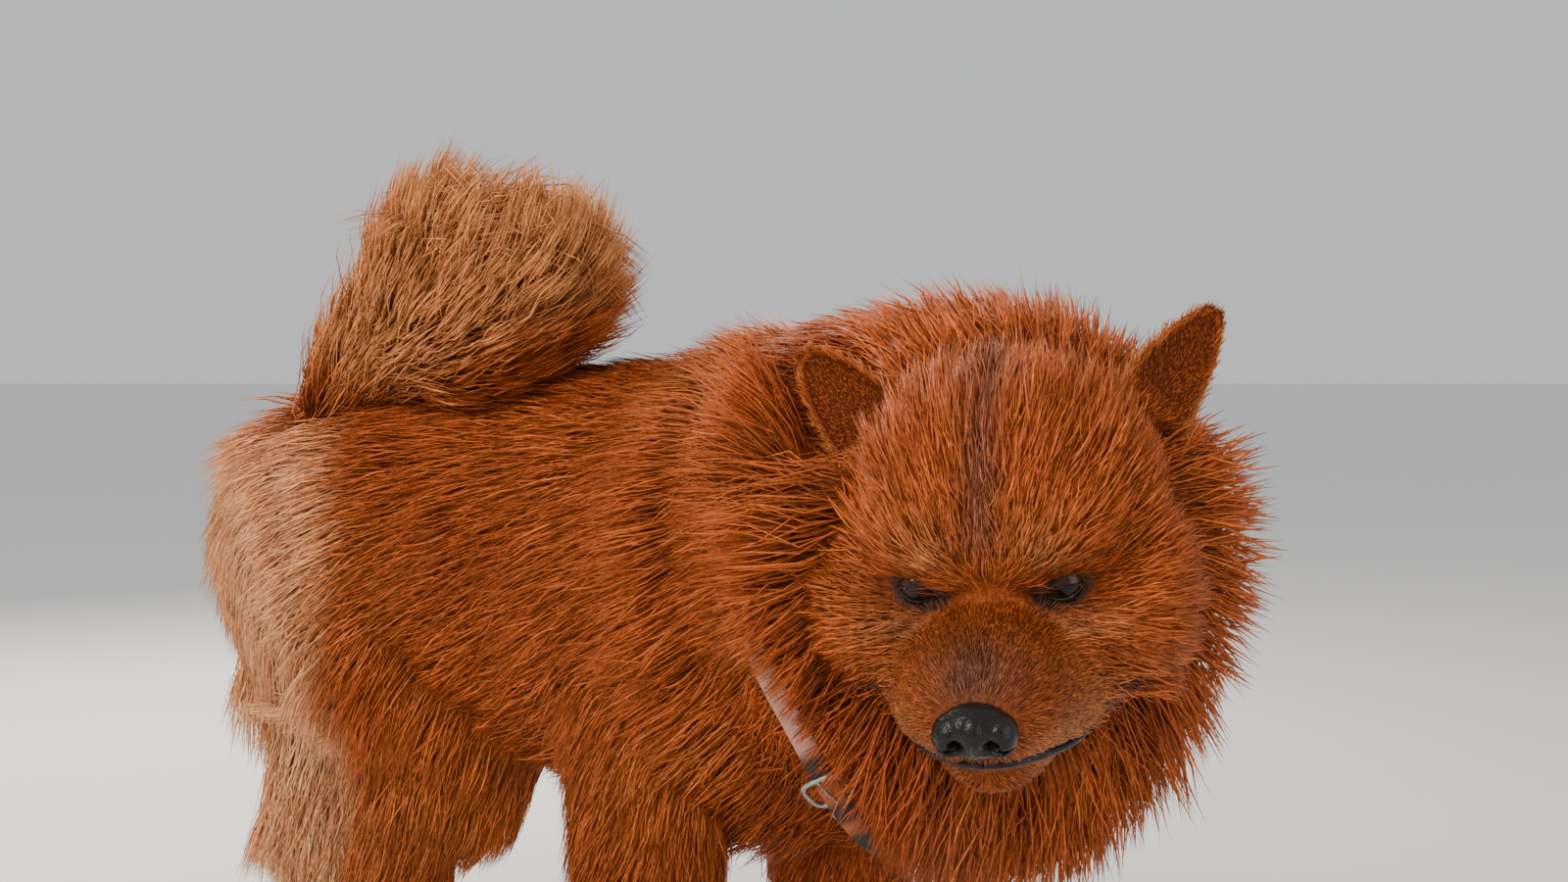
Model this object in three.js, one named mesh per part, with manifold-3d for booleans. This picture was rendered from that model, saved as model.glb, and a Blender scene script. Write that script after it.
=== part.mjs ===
// A life-size standing chow chow: the body curves towards its right, the head is turned
// right round over that shoulder and lowered, and the plumed tail lies over the back.
// Millimetres, +Z up. The right flank faces -Y and the body heads along +X.

import * as THREE from "three";
import { mergeVertices } from "three/addons/utils/BufferGeometryUtils.js";
import Module from "manifold-3d";

const wasm = await Module();
wasm.setup();

const V = (x, y, z) => new THREE.Vector3(x, y, z);
const UP = V(0, 0, 1);
const TURN = 2 * Math.PI;

// Driving dimensions
const GAP = 0.36; // clearance between touching nodes
const HALF_GAP = GAP / 2;
const CHEST_WIDTH = 304; // over the coat, flank to flank
const COAT = 26; // how deep the locks stand over the core on the body
const RUFF = 36; // the same on the mane
const PLUME = 34; // the same on the tail
const FEATHER = 18; // the same on the thighs
const EYE_SPACING = 80;
const EYE_RADIUS = 11.5;
const EAR_LENGTH = 78;
const EAR_WIDTH = 64;
const EAR_DEPTH = 30;
const LEG_WIDTH = 80; // furred foreleg over the wrist
const PAW_LENGTH = 88;
const PAW_WIDTH = 74;
const COLLAR_WIDTH = 15;
const COLLAR_THICK = 3;

// Centre of the base: the box round the whole animal is centred over it.
const BASE_CENTRE = V(-2.8, -28.6, 0);

// Seeded random numbers, so that every build gives the same coat.
let seed = 20240611;
function random() {
  seed = (Math.imul(seed, 1664525) + 1013904223) >>> 0;
  return seed / 4294967296;
}
const vary = (share) => 1 + share * (2 * random() - 1);
const mix = (a, b, t) => a + (b - a) * t;
const smooth = (t) => t * t * (3 - 2 * t);

// Solids from three.js geometry, and back
function solidOf(geometry) {
  const g = geometry.clone();
  g.deleteAttribute("normal");
  g.deleteAttribute("uv");
  const merged = mergeVertices(g, 1e-3);
  return new wasm.Manifold(
    new wasm.Mesh({
      numProp: 3,
      vertProperties: new Float32Array(merged.attributes.position.array),
      triVerts: new Uint32Array(merged.index.array),
    }),
  );
}

function geometryOf(solid) {
  const mesh = solid.getMesh();
  const positions = new Float32Array(mesh.numVert * 3);
  for (let i = 0; i < mesh.numVert; i++) {
    positions.set(mesh.vertProperties.subarray(i * mesh.numProp, i * mesh.numProp + 3), i * 3);
  }
  const g = new THREE.BufferGeometry();
  g.setAttribute("position", new THREE.BufferAttribute(positions, 3));
  g.setIndex(new THREE.BufferAttribute(new Uint32Array(mesh.triVerts), 1));
  return g;
}

// The same, with its faces turned outward where they point in
function closedSolid(geometry) {
  const made = solidOf(geometry);
  return made.volume() > 0 ? made : solidOf(flipped(geometry));
}

const largest = (solid) =>
  solid.decompose().reduce((best, s) => (s.volume() > best.volume() ? s : best));
const join = (solids) => solids.reduce((sum, s) => sum.add(s));

function ellipsoid(centre, radii, columns = 16, rows = 10, turn = null) {
  const g = new THREE.SphereGeometry(1, columns, rows);
  g.scale(radii.x, radii.y, radii.z);
  if (turn) g.applyQuaternion(turn);
  g.translate(centre.x, centre.y, centre.z);
  return solidOf(g);
}

// A smooth body along a line of stations. Each station has a centre and the half sizes of
// its section: side to side, above and below the centre.
class Loft {
  constructor(stations, sideHint = null) {
    this.curve = new THREE.CatmullRomCurve3(stations.map((s) => s.at), false, "centripetal");
    this.stations = stations;
    this.sideHint = sideHint;
  }
  size(u) {
    const place = Math.min(u, 0.9999) * (this.stations.length - 1);
    const i = Math.floor(place);
    const t = place - i;
    const a = this.stations[i];
    const b = this.stations[i + 1];
    const eased = smooth(t);
    return {
      side: mix(a.side, b.side, eased),
      above: mix(a.above, b.above, eased),
      below: mix(a.below, b.below, eased),
    };
  }
  axes(u) {
    const ahead = this.curve.getTangent(u);
    const hint = this.sideHint ?? V(0, 0, 1).cross(ahead);
    const side = hint.clone().addScaledVector(ahead, -hint.dot(ahead)).normalize();
    return { ahead, side, top: ahead.clone().cross(side).normalize() };
  }
  // The surface at share u of the length; angle 0 is the animal's left, a quarter turn is the top.
  point(u, angle, grow = 0) {
    const { side, top } = this.axes(u);
    const s = this.size(u);
    const c = Math.cos(angle);
    const n = Math.sin(angle);
    return this.curve
      .getPoint(u)
      .addScaledVector(side, c * (s.side + grow))
      .addScaledVector(top, n * ((n > 0 ? s.above : s.below) + grow));
  }
  normal(u, angle) {
    const step = 0.01;
    const along = this.point(Math.min(u + step, 1), angle).sub(this.point(Math.max(u - step, 0), angle));
    const round = this.point(u, angle + step).sub(this.point(u, angle - step));
    return round.cross(along).normalize();
  }
  // Whether a place lies inside the form, shrunk by a depth.
  holds(place, depth) {
    for (let u = 0.04; u < 1; u += 0.04) {
      const { ahead, side, top } = this.axes(u);
      const away = place.clone().sub(this.curve.getPoint(u));
      const s = this.size(u);
      const n = away.dot(top);
      const across = away.dot(side) / (s.side - depth);
      const upright = n / ((n > 0 ? s.above : s.below) - depth);
      if (Math.abs(away.dot(ahead)) < 14 && Math.hypot(across, upright) < 0.96) return true;
    }
    return false;
  }
  solid(sides, steps, grow = 0) {
    const g = new THREE.CylinderGeometry(1, 1, 1, sides, steps, false);
    const position = g.getAttribute("position");
    for (let i = 0; i < position.count; i++) {
      const x = position.getX(i);
      const z = position.getZ(i);
      const u = position.getY(i) + 0.5;
      const spot = Math.hypot(x, z) < 0.5 ? this.curve.getPoint(u) : this.point(u, Math.atan2(x, z), grow);
      position.setXYZ(i, spot.x, spot.y, spot.z);
    }
    return closedSolid(g);
  }
}

function flipped(geometry) {
  const index = geometry.index.array;
  for (let i = 0; i < index.length; i += 3) [index[i + 1], index[i + 2]] = [index[i + 2], index[i + 1]];
  return geometry;
}

const station = (at, side, above, below = above) => ({ at, side, above, below });

// A flat, tapered lock of the coat. It leaves the surface at its root, bends over to run
// along the lie and ends in a tip that stands off by lift. bend is the curvature it follows.
function lock({ root, out, along, length, width, lift, bend = 0, sink = 16 }) {
  const steps = 3;
  const side = along.clone().cross(out).normalize();
  const spine = (t) =>
    root
      .clone()
      .addScaledVector(along, length * t)
      .addScaledVector(out, mix(-sink, lift, Math.pow(t, 0.62)) - 0.5 * bend * (length * t) ** 2);
  const rings = [];
  for (let i = 0; i < steps; i++) {
    const t = i / steps;
    const centre = spine(t);
    const wide = 0.5 * width * (0.72 + 0.9 * t - 1.35 * t * t);
    const thick = mix(width * 0.2, 3, t);
    rings.push([
      centre.clone().addScaledVector(side, wide),
      centre.clone().addScaledVector(out, thick),
      centre.clone().addScaledVector(side, -wide),
      centre.clone().addScaledVector(out, -thick),
    ]);
  }
  return closedRings(rings, spine(1));
}

// A closed body from rings of equal count, capped flat at the first and ended in a tip.
function closedRings(rings, tip) {
  const count = rings[0].length;
  const points = [...rings.flat(), tip];
  const faces = [];
  for (let r = 0; r + 1 < rings.length; r++) {
    for (let i = 0; i < count; i++) {
      const a = r * count + i;
      const b = r * count + ((i + 1) % count);
      faces.push(a, b, a + count, b, b + count, a + count);
    }
  }
  const last = (rings.length - 1) * count;
  for (let i = 0; i < count; i++) faces.push(last + i, last + ((i + 1) % count), points.length - 1);
  for (let i = 1; i + 1 < count; i++) faces.push(0, i + 1, i);
  return solidOfFaces(points, faces);
}

function solidOfFaces(points, faces) {
  const g = new THREE.BufferGeometry();
  g.setAttribute("position", new THREE.Float32BufferAttribute(points.flatMap((p) => [p.x, p.y, p.z]), 3));
  g.setIndex(faces);
  return closedSolid(g);
}

// Torso: a curved barrel from the buttocks to the front of the chest
const HALF = CHEST_WIDTH / 2;
const torso = new Loft([
  station(V(-336, 106, 334), 24, 26, 32),
  station(V(-322, 114, 336), 82, 86, 98),
  station(V(-292, 126, 342), 126, 124, 136),
  station(V(-244, 138, 348), HALF - 4, 138, 152),
  station(V(-164, 132, 352), HALF, 146, 142),
  station(V(-72, 98, 352), HALF + 6, 152, 172),
  station(V(14, 40, 352), HALF + 10, 158, 194),
  station(V(84, -22, 354), HALF + 8, 172, 198),
  station(V(134, -76, 352), 130, 148, 168),
  station(V(158, -100, 350), 70, 78, 84),
]);

// Head frame: eyes' middle, and the directions forward (down the muzzle), left and up
const EYES = V(183, -270, 372);
const HEAD_YAW = (13 * Math.PI) / 180;
const HEAD_PITCH = (27 * Math.PI) / 180;
const HEAD_ROLL = (3 * Math.PI) / 180;
const level = V(-Math.sin(HEAD_YAW), -Math.cos(HEAD_YAW), 0);
const FORWARD = level
  .clone()
  .multiplyScalar(Math.cos(HEAD_PITCH))
  .addScaledVector(UP, -Math.sin(HEAD_PITCH));
const LEFT = UP.clone().cross(level).normalize().applyAxisAngle(FORWARD, HEAD_ROLL);
const CROWN = FORWARD.clone().cross(LEFT).normalize();
const inHead = (f, l, u) =>
  EYES.clone().addScaledVector(FORWARD, f).addScaledVector(LEFT, l).addScaledVector(CROWN, u);
const headTurn = new THREE.Quaternion().setFromRotationMatrix(
  new THREE.Matrix4().makeBasis(FORWARD, LEFT, CROWN),
);

// Neck: from inside the shoulders up to the back of the skull
const neck = new Loft([
  station(V(30, 30, 366), 116, 134, 150),
  station(V(92, -36, 374), 146, 154, 190),
  station(V(150, -102, 382), 156, 160, 208),
  station(V(192, -150, 384), 160, 158, 208),
  station(V(206, -190, 382), 146, 140, 180),
  station(V(212, -218, 380), 96, 92, 112),
]);

// Tail: up from the croup and forward along the back
const tail = new Loft(
  [
    station(V(-290, 128, 392), 44, 44),
    station(V(-270, 118, 434), 54, 54),
    station(V(-222, 100, 480), 64, 64),
    station(V(-168, 82, 524), 90, 84),
    station(V(-142, 76, 556), 100, 94),
    station(V(-138, 74, 586), 84, 78),
    station(V(-138, 74, 612), 46, 42),
    station(V(-138, 74, 622), 14, 12),
  ],
  V(0, 1, 0),
);

// Legs: each has the ground point of its paw and stations from the body down to the wrist or hock
function foreleg(paw, elbow) {
  const w = LEG_WIDTH / 2;
  return new Loft(
    [
      station(elbow.clone().add(V(0, 0, 70)), w * 1.2, w * 1.7),
      station(elbow, w * 1.45, w * 1.7),
      station(V(mix(elbow.x, paw.x, 0.6), mix(elbow.y, paw.y, 0.6), 150), w * 1.22, w * 1.36),
      station(V(paw.x, paw.y, 92), w * 1.04, w * 1.1),
      station(V(paw.x, paw.y, 48), w * 1, w * 1.05),
      station(V(paw.x, paw.y, 26), w * 0.7, w * 0.7),
    ],
    V(0, 1, 0),
  );
}

function hindleg(paw, hip, heading) {
  const ahead = (d, z) => V(paw.x + heading.x * d, paw.y + heading.y * d, z);
  const w = LEG_WIDTH / 2;
  return new Loft(
    [
      station(hip, w * 1.7, w * 2.2),
      station(ahead(14, 262), w * 1.6, w * 2.35),
      station(ahead(4, 198), w * 1.25, w * 1.8),
      station(ahead(-22, 146), w * 0.98, w * 1.15),
      station(ahead(-18, 92), w * 0.86, w * 0.92),
      station(ahead(-8, 48), w * 0.84, w * 0.9),
      station(ahead(-2, 26), w * 0.7, w * 0.7),
    ],
    V(0, 0, 1).cross(heading).normalize(),
  );
}

const HIND_HEADING = V(Math.cos(0.28), Math.sin(0.28), 0);
const FORE_HEADING = V(Math.cos(0.62), -Math.sin(0.62), 0);
const legs = {
  leg_fore_right: { paw: V(-24, -84, 0), heading: FORE_HEADING, top: V(-10, -46, 262), fore: true },
  leg_fore_left: { paw: V(112, 24, 0), heading: FORE_HEADING, top: V(104, 20, 262), fore: true },
  leg_hind_right: { paw: V(-176, 70, 0), heading: HIND_HEADING, top: V(-212, 74, 322), fore: false },
  leg_hind_left: { paw: V(-272, 194, 0), heading: HIND_HEADING, top: V(-258, 184, 322), fore: false },
};
for (const leg of Object.values(legs)) {
  leg.loft = leg.fore ? foreleg(leg.paw, leg.top) : hindleg(leg.paw, leg.top, leg.heading);
}

// A round cat-like foot: four toes side by side with claws, flat on the ground
function paw(at, heading) {
  const side = UP.clone().cross(heading).normalize();
  const turn = new THREE.Quaternion().setFromRotationMatrix(
    new THREE.Matrix4().makeBasis(heading, side, UP),
  );
  const place = (f, s, z) =>
    at.clone().addScaledVector(heading, f).addScaledVector(side, s).setZ(z);
  const parts = [ellipsoid(place(6, 0, 26), V(PAW_LENGTH / 2 - 4, PAW_WIDTH / 2 - 2, 36), 10, 6, turn)];
  const toe = PAW_WIDTH / 4;
  for (let i = 0; i < 4; i++) {
    const s = (i - 1.5) * toe * 0.98;
    const f = i === 1 || i === 2 ? 34 : 25;
    parts.push(ellipsoid(place(f, s, 16), V(19, toe * 0.6, 19), 7, 5, turn));
    const claw = new THREE.ConeGeometry(3.2, 15, 4);
    claw.rotateZ(-Math.PI / 2 - 0.45);
    claw.applyQuaternion(turn);
    const c = place(f + 20, s, 10);
    claw.translate(c.x, c.y, c.z);
    parts.push(solidOf(claw));
  }
  return join(parts);
}

// Head: rays from inside the skull find the smooth blend of these masses
const HEAD_MASSES = [
  { at: [-68, 0, 8], size: [76, 74, 66] }, // skull
  { at: [-36, 50, -34], size: [52, 40, 46] }, // left cheek
  { at: [-36, -50, -34], size: [52, 40, 46] }, // right cheek
  { at: [36, 0, -38], size: [52, 46, 34] }, // muzzle
  { at: [54, 0, -36], size: [36, 42, 30] }, // blunt end of the muzzle
  { at: [20, 0, -78], size: [50, 36, 22] }, // lower jaw
  { at: [-12, 35, 19], size: [22, 21, 13] }, // left brow
  { at: [-12, -35, 19], size: [22, 21, 13] }, // right brow
];
const HEAD_HEART = [-22, 0, -18];
const HEAD_BLEND = 16;

function headDistance(p) {
  let sum = 0;
  for (const { at, size } of HEAD_MASSES) {
    const q = [0, 1, 2].map((i) => (p[i] - at[i]) / size[i]);
    const r = Math.hypot(...q);
    const d = (r - 1) * Math.min(...size);
    sum += Math.exp(-d / HEAD_BLEND * 2.2);
  }
  return (-Math.log(sum) * HEAD_BLEND) / 2.2;
}

function headSurface(direction) {
  const dir = [direction.x, direction.y, direction.z];
  let near = 5;
  let far = 190;
  for (let i = 0; i < 26; i++) {
    const middle = (near + far) / 2;
    const p = dir.map((d, k) => HEAD_HEART[k] + d * middle);
    if (headDistance(p) < 0) near = middle;
    else far = middle;
  }
  return dir.map((d, k) => HEAD_HEART[k] + d * near);
}

function headCore() {
  const g = new THREE.SphereGeometry(1, 26, 17);
  g.rotateZ(Math.PI / 2); // poles to the sides of the head
  g.rotateX(Math.PI / 2);
  const position = g.getAttribute("position");
  const direction = V(0, 0, 0);
  for (let i = 0; i < position.count; i++) {
    direction.fromBufferAttribute(position, i).normalize();
    const spot = inHead(...headSurface(direction));
    position.setXYZ(i, spot.x, spot.y, spot.z);
  }
  return closedSolid(g);
}

// Eyes, and the lids as a shell over each eye with an almond opening
const eyeAt = (s) => inHead(-6, (s * EYE_SPACING) / 2, -4);
const eyeSolid = (s, grow = 0) =>
  ellipsoid(eyeAt(s), V(1, 1, 1).multiplyScalar(EYE_RADIUS + grow), 12, 8, headTurn);

function lidOpening(s) {
  const width = EYE_RADIUS * 1.72;
  const height = EYE_RADIUS * 0.95;
  const shape = new THREE.Shape();
  shape.moveTo(-width / 2, 0);
  shape.quadraticCurveTo(0, height * 1.5, width / 2, 0);
  shape.quadraticCurveTo(0, -height * 1.1, -width / 2, 0);
  const g = new THREE.ExtrudeGeometry(shape, { depth: 40, bevelEnabled: false, curveSegments: 6 });
  // The almond's own x runs to the animal's left, its y up and its depth forward.
  g.applyMatrix4(new THREE.Matrix4().makeBasis(LEFT, CROWN, FORWARD));
  const slant = new THREE.Quaternion().setFromAxisAngle(FORWARD, s * 0.16);
  g.applyQuaternion(slant);
  const at = eyeAt(s);
  g.translate(at.x, at.y, at.z);
  return closedSolid(g);
}

// Nose leather with two nostrils and the groove between them
const NOSE_AT = [91, 0, -32];
function noseSolid(grow = 0) {
  const g = new THREE.SphereGeometry(1, 12, 8);
  const position = g.getAttribute("position");
  for (let i = 0; i < position.count; i++) {
    const f = position.getX(i);
    const l = position.getY(i);
    const u = position.getZ(i);
    const narrow = u < 0 ? 1 + 0.42 * u : 1; // narrower towards the lip
    const spot = inHead(
      NOSE_AT[0] + f * (16 + grow),
      NOSE_AT[1] + l * (24 * narrow + grow),
      NOSE_AT[2] + u * (18 + grow),
    );
    position.setXYZ(i, spot.x, spot.y, spot.z);
  }
  return closedSolid(g);
}

function nose() {
  const cuts = [-1, 1].flatMap((s) => [
    ellipsoid(inHead(NOSE_AT[0] + 13, s * 10, NOSE_AT[2] - 2), V(8, 5, 4.4), 7, 5, headTurn),
    ellipsoid(inHead(NOSE_AT[0] + 9, s * 17, NOSE_AT[2] - 6), V(8, 6, 1.8), 7, 4, headTurn),
  ]);
  cuts.push(ellipsoid(inHead(NOSE_AT[0] + 17, 0, NOSE_AT[2] - 9), V(5, 1.4, 12), 5, 5, headTurn));
  return noseSolid().subtract(join(cuts));
}

// The mouth line: a groove from under the nose along each lip, with a rounded lip over it
function mouthCurve(s, inset, drop) {
  return new THREE.CatmullRomCurve3(
    [
      inHead(89 - inset, 0, -58 + drop),
      inHead(82 - inset, s * (19 - inset), -63 + drop),
      inHead(62, s * (36 - inset), -66 + drop),
      inHead(36, s * (44 - inset), -66 + drop),
      inHead(8, s * (47 - inset), -60 + drop),
      inHead(-12, s * (54 - inset), -50 + drop),
    ],
    false,
    "centripetal",
  );
}

function tube(curve, radius, steps, sides = 8) {
  const section = new THREE.Shape();
  section.absarc(0, 0, radius, 0, TURN, false);
  const g = new THREE.ExtrudeGeometry(section, {
    steps,
    extrudePath: curve,
    curveSegments: sides / 2,
    bevelEnabled: false,
  });
  return closedSolid(g);
}

// Ears: a rounded, thick-rimmed cup. Its own y runs from root to tip and its z out of the cup.
function earShape(grow = 0) {
  const profile = [];
  const count = 7;
  for (let i = 0; i <= count; i++) {
    const t = i / count;
    const r = 0.5 * EAR_WIDTH * Math.sqrt(Math.max(0, 1 - Math.pow(t, 2.1))) * (0.94 - 0.2 * t) + grow;
    profile.push(new THREE.Vector2(i === count ? 0 : r, EAR_LENGTH * t + (i === count ? grow : 0)));
  }
  profile.unshift(new THREE.Vector2(0, -grow));
  const outer = new THREE.LatheGeometry(profile, 12);
  outer.scale(1, 1, EAR_DEPTH / EAR_WIDTH);
  return outer;
}

// The right ear is laid out to the side, the left one stands; both cups face the camera's side.
const EARS = {
  right: { root: V(128, -178, 446), tip: V(-0.62, 0.36, 0.7), face: V(-0.1, -1, -0.25) },
  left: { root: V(284, -186, 462), tip: V(0.56, 0.1, 0.82), face: V(0.42, -0.9, -0.1) },
};

function earPlacement(s) {
  const { root, tip, face } = s > 0 ? EARS.left : EARS.right;
  const y = tip.clone().normalize();
  const z = face.clone().addScaledVector(y, -face.dot(y)).normalize();
  const x = y.clone().cross(z).normalize();
  return new THREE.Matrix4().makeBasis(x, y, z).setPosition(root);
}

function ear(s, grow = 0) {
  return closedSolid(earShape(grow).applyMatrix4(earPlacement(s)));
}

function earCup(s) {
  const g = earShape();
  g.scale(0.76, 0.84, 0.9);
  g.translate(0, 5, EAR_DEPTH * 0.34);
  g.applyMatrix4(earPlacement(s));
  return closedSolid(g);
}

// Collar: a loose band round the base of the neck, with a buckle on the right side
const COLLAR_CENTRE = V(92, -62, 350);
const COLLAR_AXIS = V(0.84, -0.34, 0.42).normalize();
const collarAcross = UP.clone().cross(COLLAR_AXIS).normalize();
const collarDown = COLLAR_AXIS.clone().cross(collarAcross).normalize().negate();
const COLLAR_STEPS = 32;

// The band is taut over the core: its outline is the hull of the core's section there.
function sectionHull(solid) {
  const slab = block(COLLAR_CENTRE, COLLAR_AXIS, 900, COLLAR_WIDTH, -COLLAR_WIDTH / 2);
  const mesh = solid.intersect(slab).getMesh();
  const flat = [];
  for (let i = 0; i < mesh.numVert; i++) {
    const p = V(...mesh.vertProperties.subarray(i * mesh.numProp, i * mesh.numProp + 3)).sub(COLLAR_CENTRE);
    flat.push([p.dot(collarAcross), p.dot(collarDown)]);
  }
  return flat;
}

function hullRadius(flat, angle) {
  // The hull's radius is the least over all tangent lines of the support function.
  let least = Infinity;
  for (let k = -8; k <= 8; k++) {
    const a = angle + k * 0.16;
    const reach = Math.max(...flat.map(([x, y]) => x * Math.cos(a) + y * Math.sin(a)));
    least = Math.min(least, reach / Math.cos(angle - a));
  }
  return least;
}

let collarRadii = [];

// A point of the ring at an angle; its radii are set once the body is joined
function collarPoint(angle, grow = 0) {
  const place = (((angle % TURN) + TURN) % TURN) / TURN * COLLAR_STEPS;
  const i = Math.floor(place);
  const radius = mix(collarRadii[i % COLLAR_STEPS], collarRadii[(i + 1) % COLLAR_STEPS], place - i);
  return COLLAR_CENTRE.clone()
    .addScaledVector(collarAcross, Math.cos(angle) * (radius + grow))
    .addScaledVector(collarDown, Math.sin(angle) * (radius + grow));
}

const BUCKLE_FROM = 2.24;
const BUCKLE_TO = 2.44;
const BUCKLE_GAP = 0.003; // between the buckle and the band's two ends, in radians
const BAND_ANGLES = evenly(BUCKLE_TO + BUCKLE_GAP, BUCKLE_FROM + TURN - BUCKLE_GAP, COLLAR_STEPS);
const BUCKLE_ANGLES = evenly(BUCKLE_FROM, BUCKLE_TO, 3);

function evenly(from, to, steps) {
  return Array.from({ length: steps + 1 }, (_, i) => mix(from, to, i / steps));
}

// A stretch of the collar, flat at both ends, or the whole ring where it is closed
function collarBand(angles, width, thick, closed = false) {
  const rings = angles.map((angle) => {
    const inner = collarPoint(angle, -thick / 2);
    const outer = collarPoint(angle, thick / 2);
    return [
      inner.clone().addScaledVector(COLLAR_AXIS, -width / 2),
      inner.clone().addScaledVector(COLLAR_AXIS, width / 2),
      outer.clone().addScaledVector(COLLAR_AXIS, width / 2),
      outer.clone().addScaledVector(COLLAR_AXIS, -width / 2),
    ];
  });
  const count = rings.length;
  const faces = [];
  for (let r = 0; r < (closed ? count : count - 1); r++) {
    for (let i = 0; i < 4; i++) {
      const a = r * 4 + i;
      const b = r * 4 + ((i + 1) % 4);
      const c = ((r + 1) % count) * 4 + i;
      const d = ((r + 1) % count) * 4 + ((i + 1) % 4);
      faces.push(a, b, c, b, d, c);
    }
  }
  const last = (count - 1) * 4;
  if (!closed) faces.push(0, 2, 1, 0, 3, 2, last, last + 1, last + 2, last, last + 2, last + 3);
  return solidOfFaces(rings.flat(), faces);
}

// The coat: rows of locks over each loft. lie(u, angle) gives the way the hair runs.
function coat(
  loft,
  rows,
  { depth, length, width, lift, lie, sink = 14, keep = () => true, curl = () => 0 },
) {
  const made = [];
  rows.forEach(({ u, count, from = 0, to = TURN }, row) => {
    for (let i = 0; i < count; i++) {
      const angle = mix(from, to, (i + (row % 2 ? 0.5 : 0) + 0.16 * (2 * random() - 1)) / count);
      const at = u + 0.012 * (2 * random() - 1);
      const root = loft.point(at, angle, -depth);
      const out = loft.normal(at, angle);
      if (!keep(root, at, angle)) continue;
      const along = lie(root, at, angle).clone();
      along.addScaledVector(out, -along.dot(out)).normalize();
      const share = along.dot(loft.curve.getTangent(at));
      made.push(
        lock({
          root,
          out,
          along,
          length: length * vary(0.18) * (curl(at) ? 0.7 : 1),
          width: width * vary(0.12),
          lift: lift * vary(0.2),
          bend: (0.5 * (1 - share * share)) / (loft.size(at).side - depth) + curl(at),
          sink,
        }),
      );
    }
  });
  return made;
}

const back = (loft, u) => loft.curve.getTangent(u).negate();
// Whether a place lies in the face, ahead of the ruff
const inFace = (place) => {
  const away = place.clone().sub(EYES);
  return headDistance([FORWARD, LEFT, CROWN].map((axis) => away.dot(axis))) < 0;
};
const plus = (a, b, share) => a.clone().addScaledVector(b, share);

// How much the hair of the torso hangs: most on the rump and the flanks
const hang = (u, angle) => (u < 0.3 ? 2.2 - 5 * u : 0.35) + 0.45 * Math.abs(Math.cos(angle));
const bodyLocks = coat(
  torso,
  [
    { u: 0.12, count: 6 },
    { u: 0.24, count: 7 },
    { u: 0.37, count: 8 },
    { u: 0.5, count: 8 },
    { u: 0.64, count: 8 },
    { u: 0.78, count: 8 },
  ],
  {
    depth: COAT,
    length: 112,
    width: 86,
    lift: COAT,
    lie: (root, u, angle) => plus(back(torso, u), UP, -hang(u, angle)),
    keep: (root) => !neck.holds(root, RUFF),
    curl: (u) => (u < 0.3 ? 0.011 : 0),
  },
);

const maneLocks = coat(
  neck,
  [
    { u: 0.44, count: 8 },
    { u: 0.64, count: 9 },
    { u: 0.84, count: 10 },
  ],
  {
    depth: RUFF,
    length: 100,
    width: 88,
    lift: RUFF,
    lie: (root, u, angle) => plus(back(neck, u), UP, -0.35 - 0.75 * Math.max(0, -Math.sin(angle))),
    keep: (root) => !torso.holds(root, COAT) && !inFace(root),
  },
);

const tailLocks = coat(
  tail,
  [
    { u: 0.22, count: 4 },
    { u: 0.4, count: 5 },
    { u: 0.56, count: 7 },
    { u: 0.7, count: 6 },
    { u: 0.84, count: 4 },
  ],
  {
    depth: PLUME,
    length: 58,
    width: 52,
    lift: PLUME,
    lie: (root, u) => tail.curve.getTangent(u),
    curl: (u) => (u > 0.62 ? 0.014 : 0),
    keep: (root) => !torso.holds(root, COAT),
  },
);

function legLocks(leg) {
  const rear = leg.heading.clone().negate();
  const lowRow = { u: 0.34, count: leg.fore ? 3 : 5 };
  const rows = leg.fore ? [lowRow] : [{ u: 0.16, count: 5 }, lowRow];
  const depth = leg.fore ? FEATHER / 2 : FEATHER;
  return coat(leg.loft, rows, {
    depth,
    length: leg.fore ? 62 : 84,
    width: leg.fore ? 50 : 62,
    lift: depth,
    lie: () => plus(rear.clone().multiplyScalar(leg.fore ? 0.2 : 0.3), UP, -1),
    sink: 12,
    keep: (root) => !torso.holds(root, COAT),
  });
}

// The ruff on the head: a ring of locks round the cheeks and behind the ears
function ruffLocks() {
  const made = [];
  const ringBack = -0.2;
  const count = 8;
  const round = Math.sqrt(1 - ringBack * ringBack);
  for (let i = 0; i < count; i++) {
    const angle = (TURN * (i + 0.3 * (random() - 0.5))) / count;
    const clearOfEar = Math.abs(Math.abs(Math.cos(angle)) - 0.76) > 0.2 || Math.sin(angle) < 0;
    if (!clearOfEar) continue;
    const spot = headSurface(V(ringBack, round * Math.cos(angle), round * Math.sin(angle)));
    const root = inHead(...spot);
    const out = root.clone().sub(inHead(...HEAD_HEART)).normalize();
    const along = plus(FORWARD.clone().negate(), UP, -0.25);
    along.addScaledVector(out, -along.dot(out)).normalize();
    const size = { length: 58 * vary(0.15), width: 56 * vary(0.12), lift: 34 * vary(0.2) };
    made.push(lock({ root, out, along, sink: 12, ...size }));
  }
  return made;
}

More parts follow.
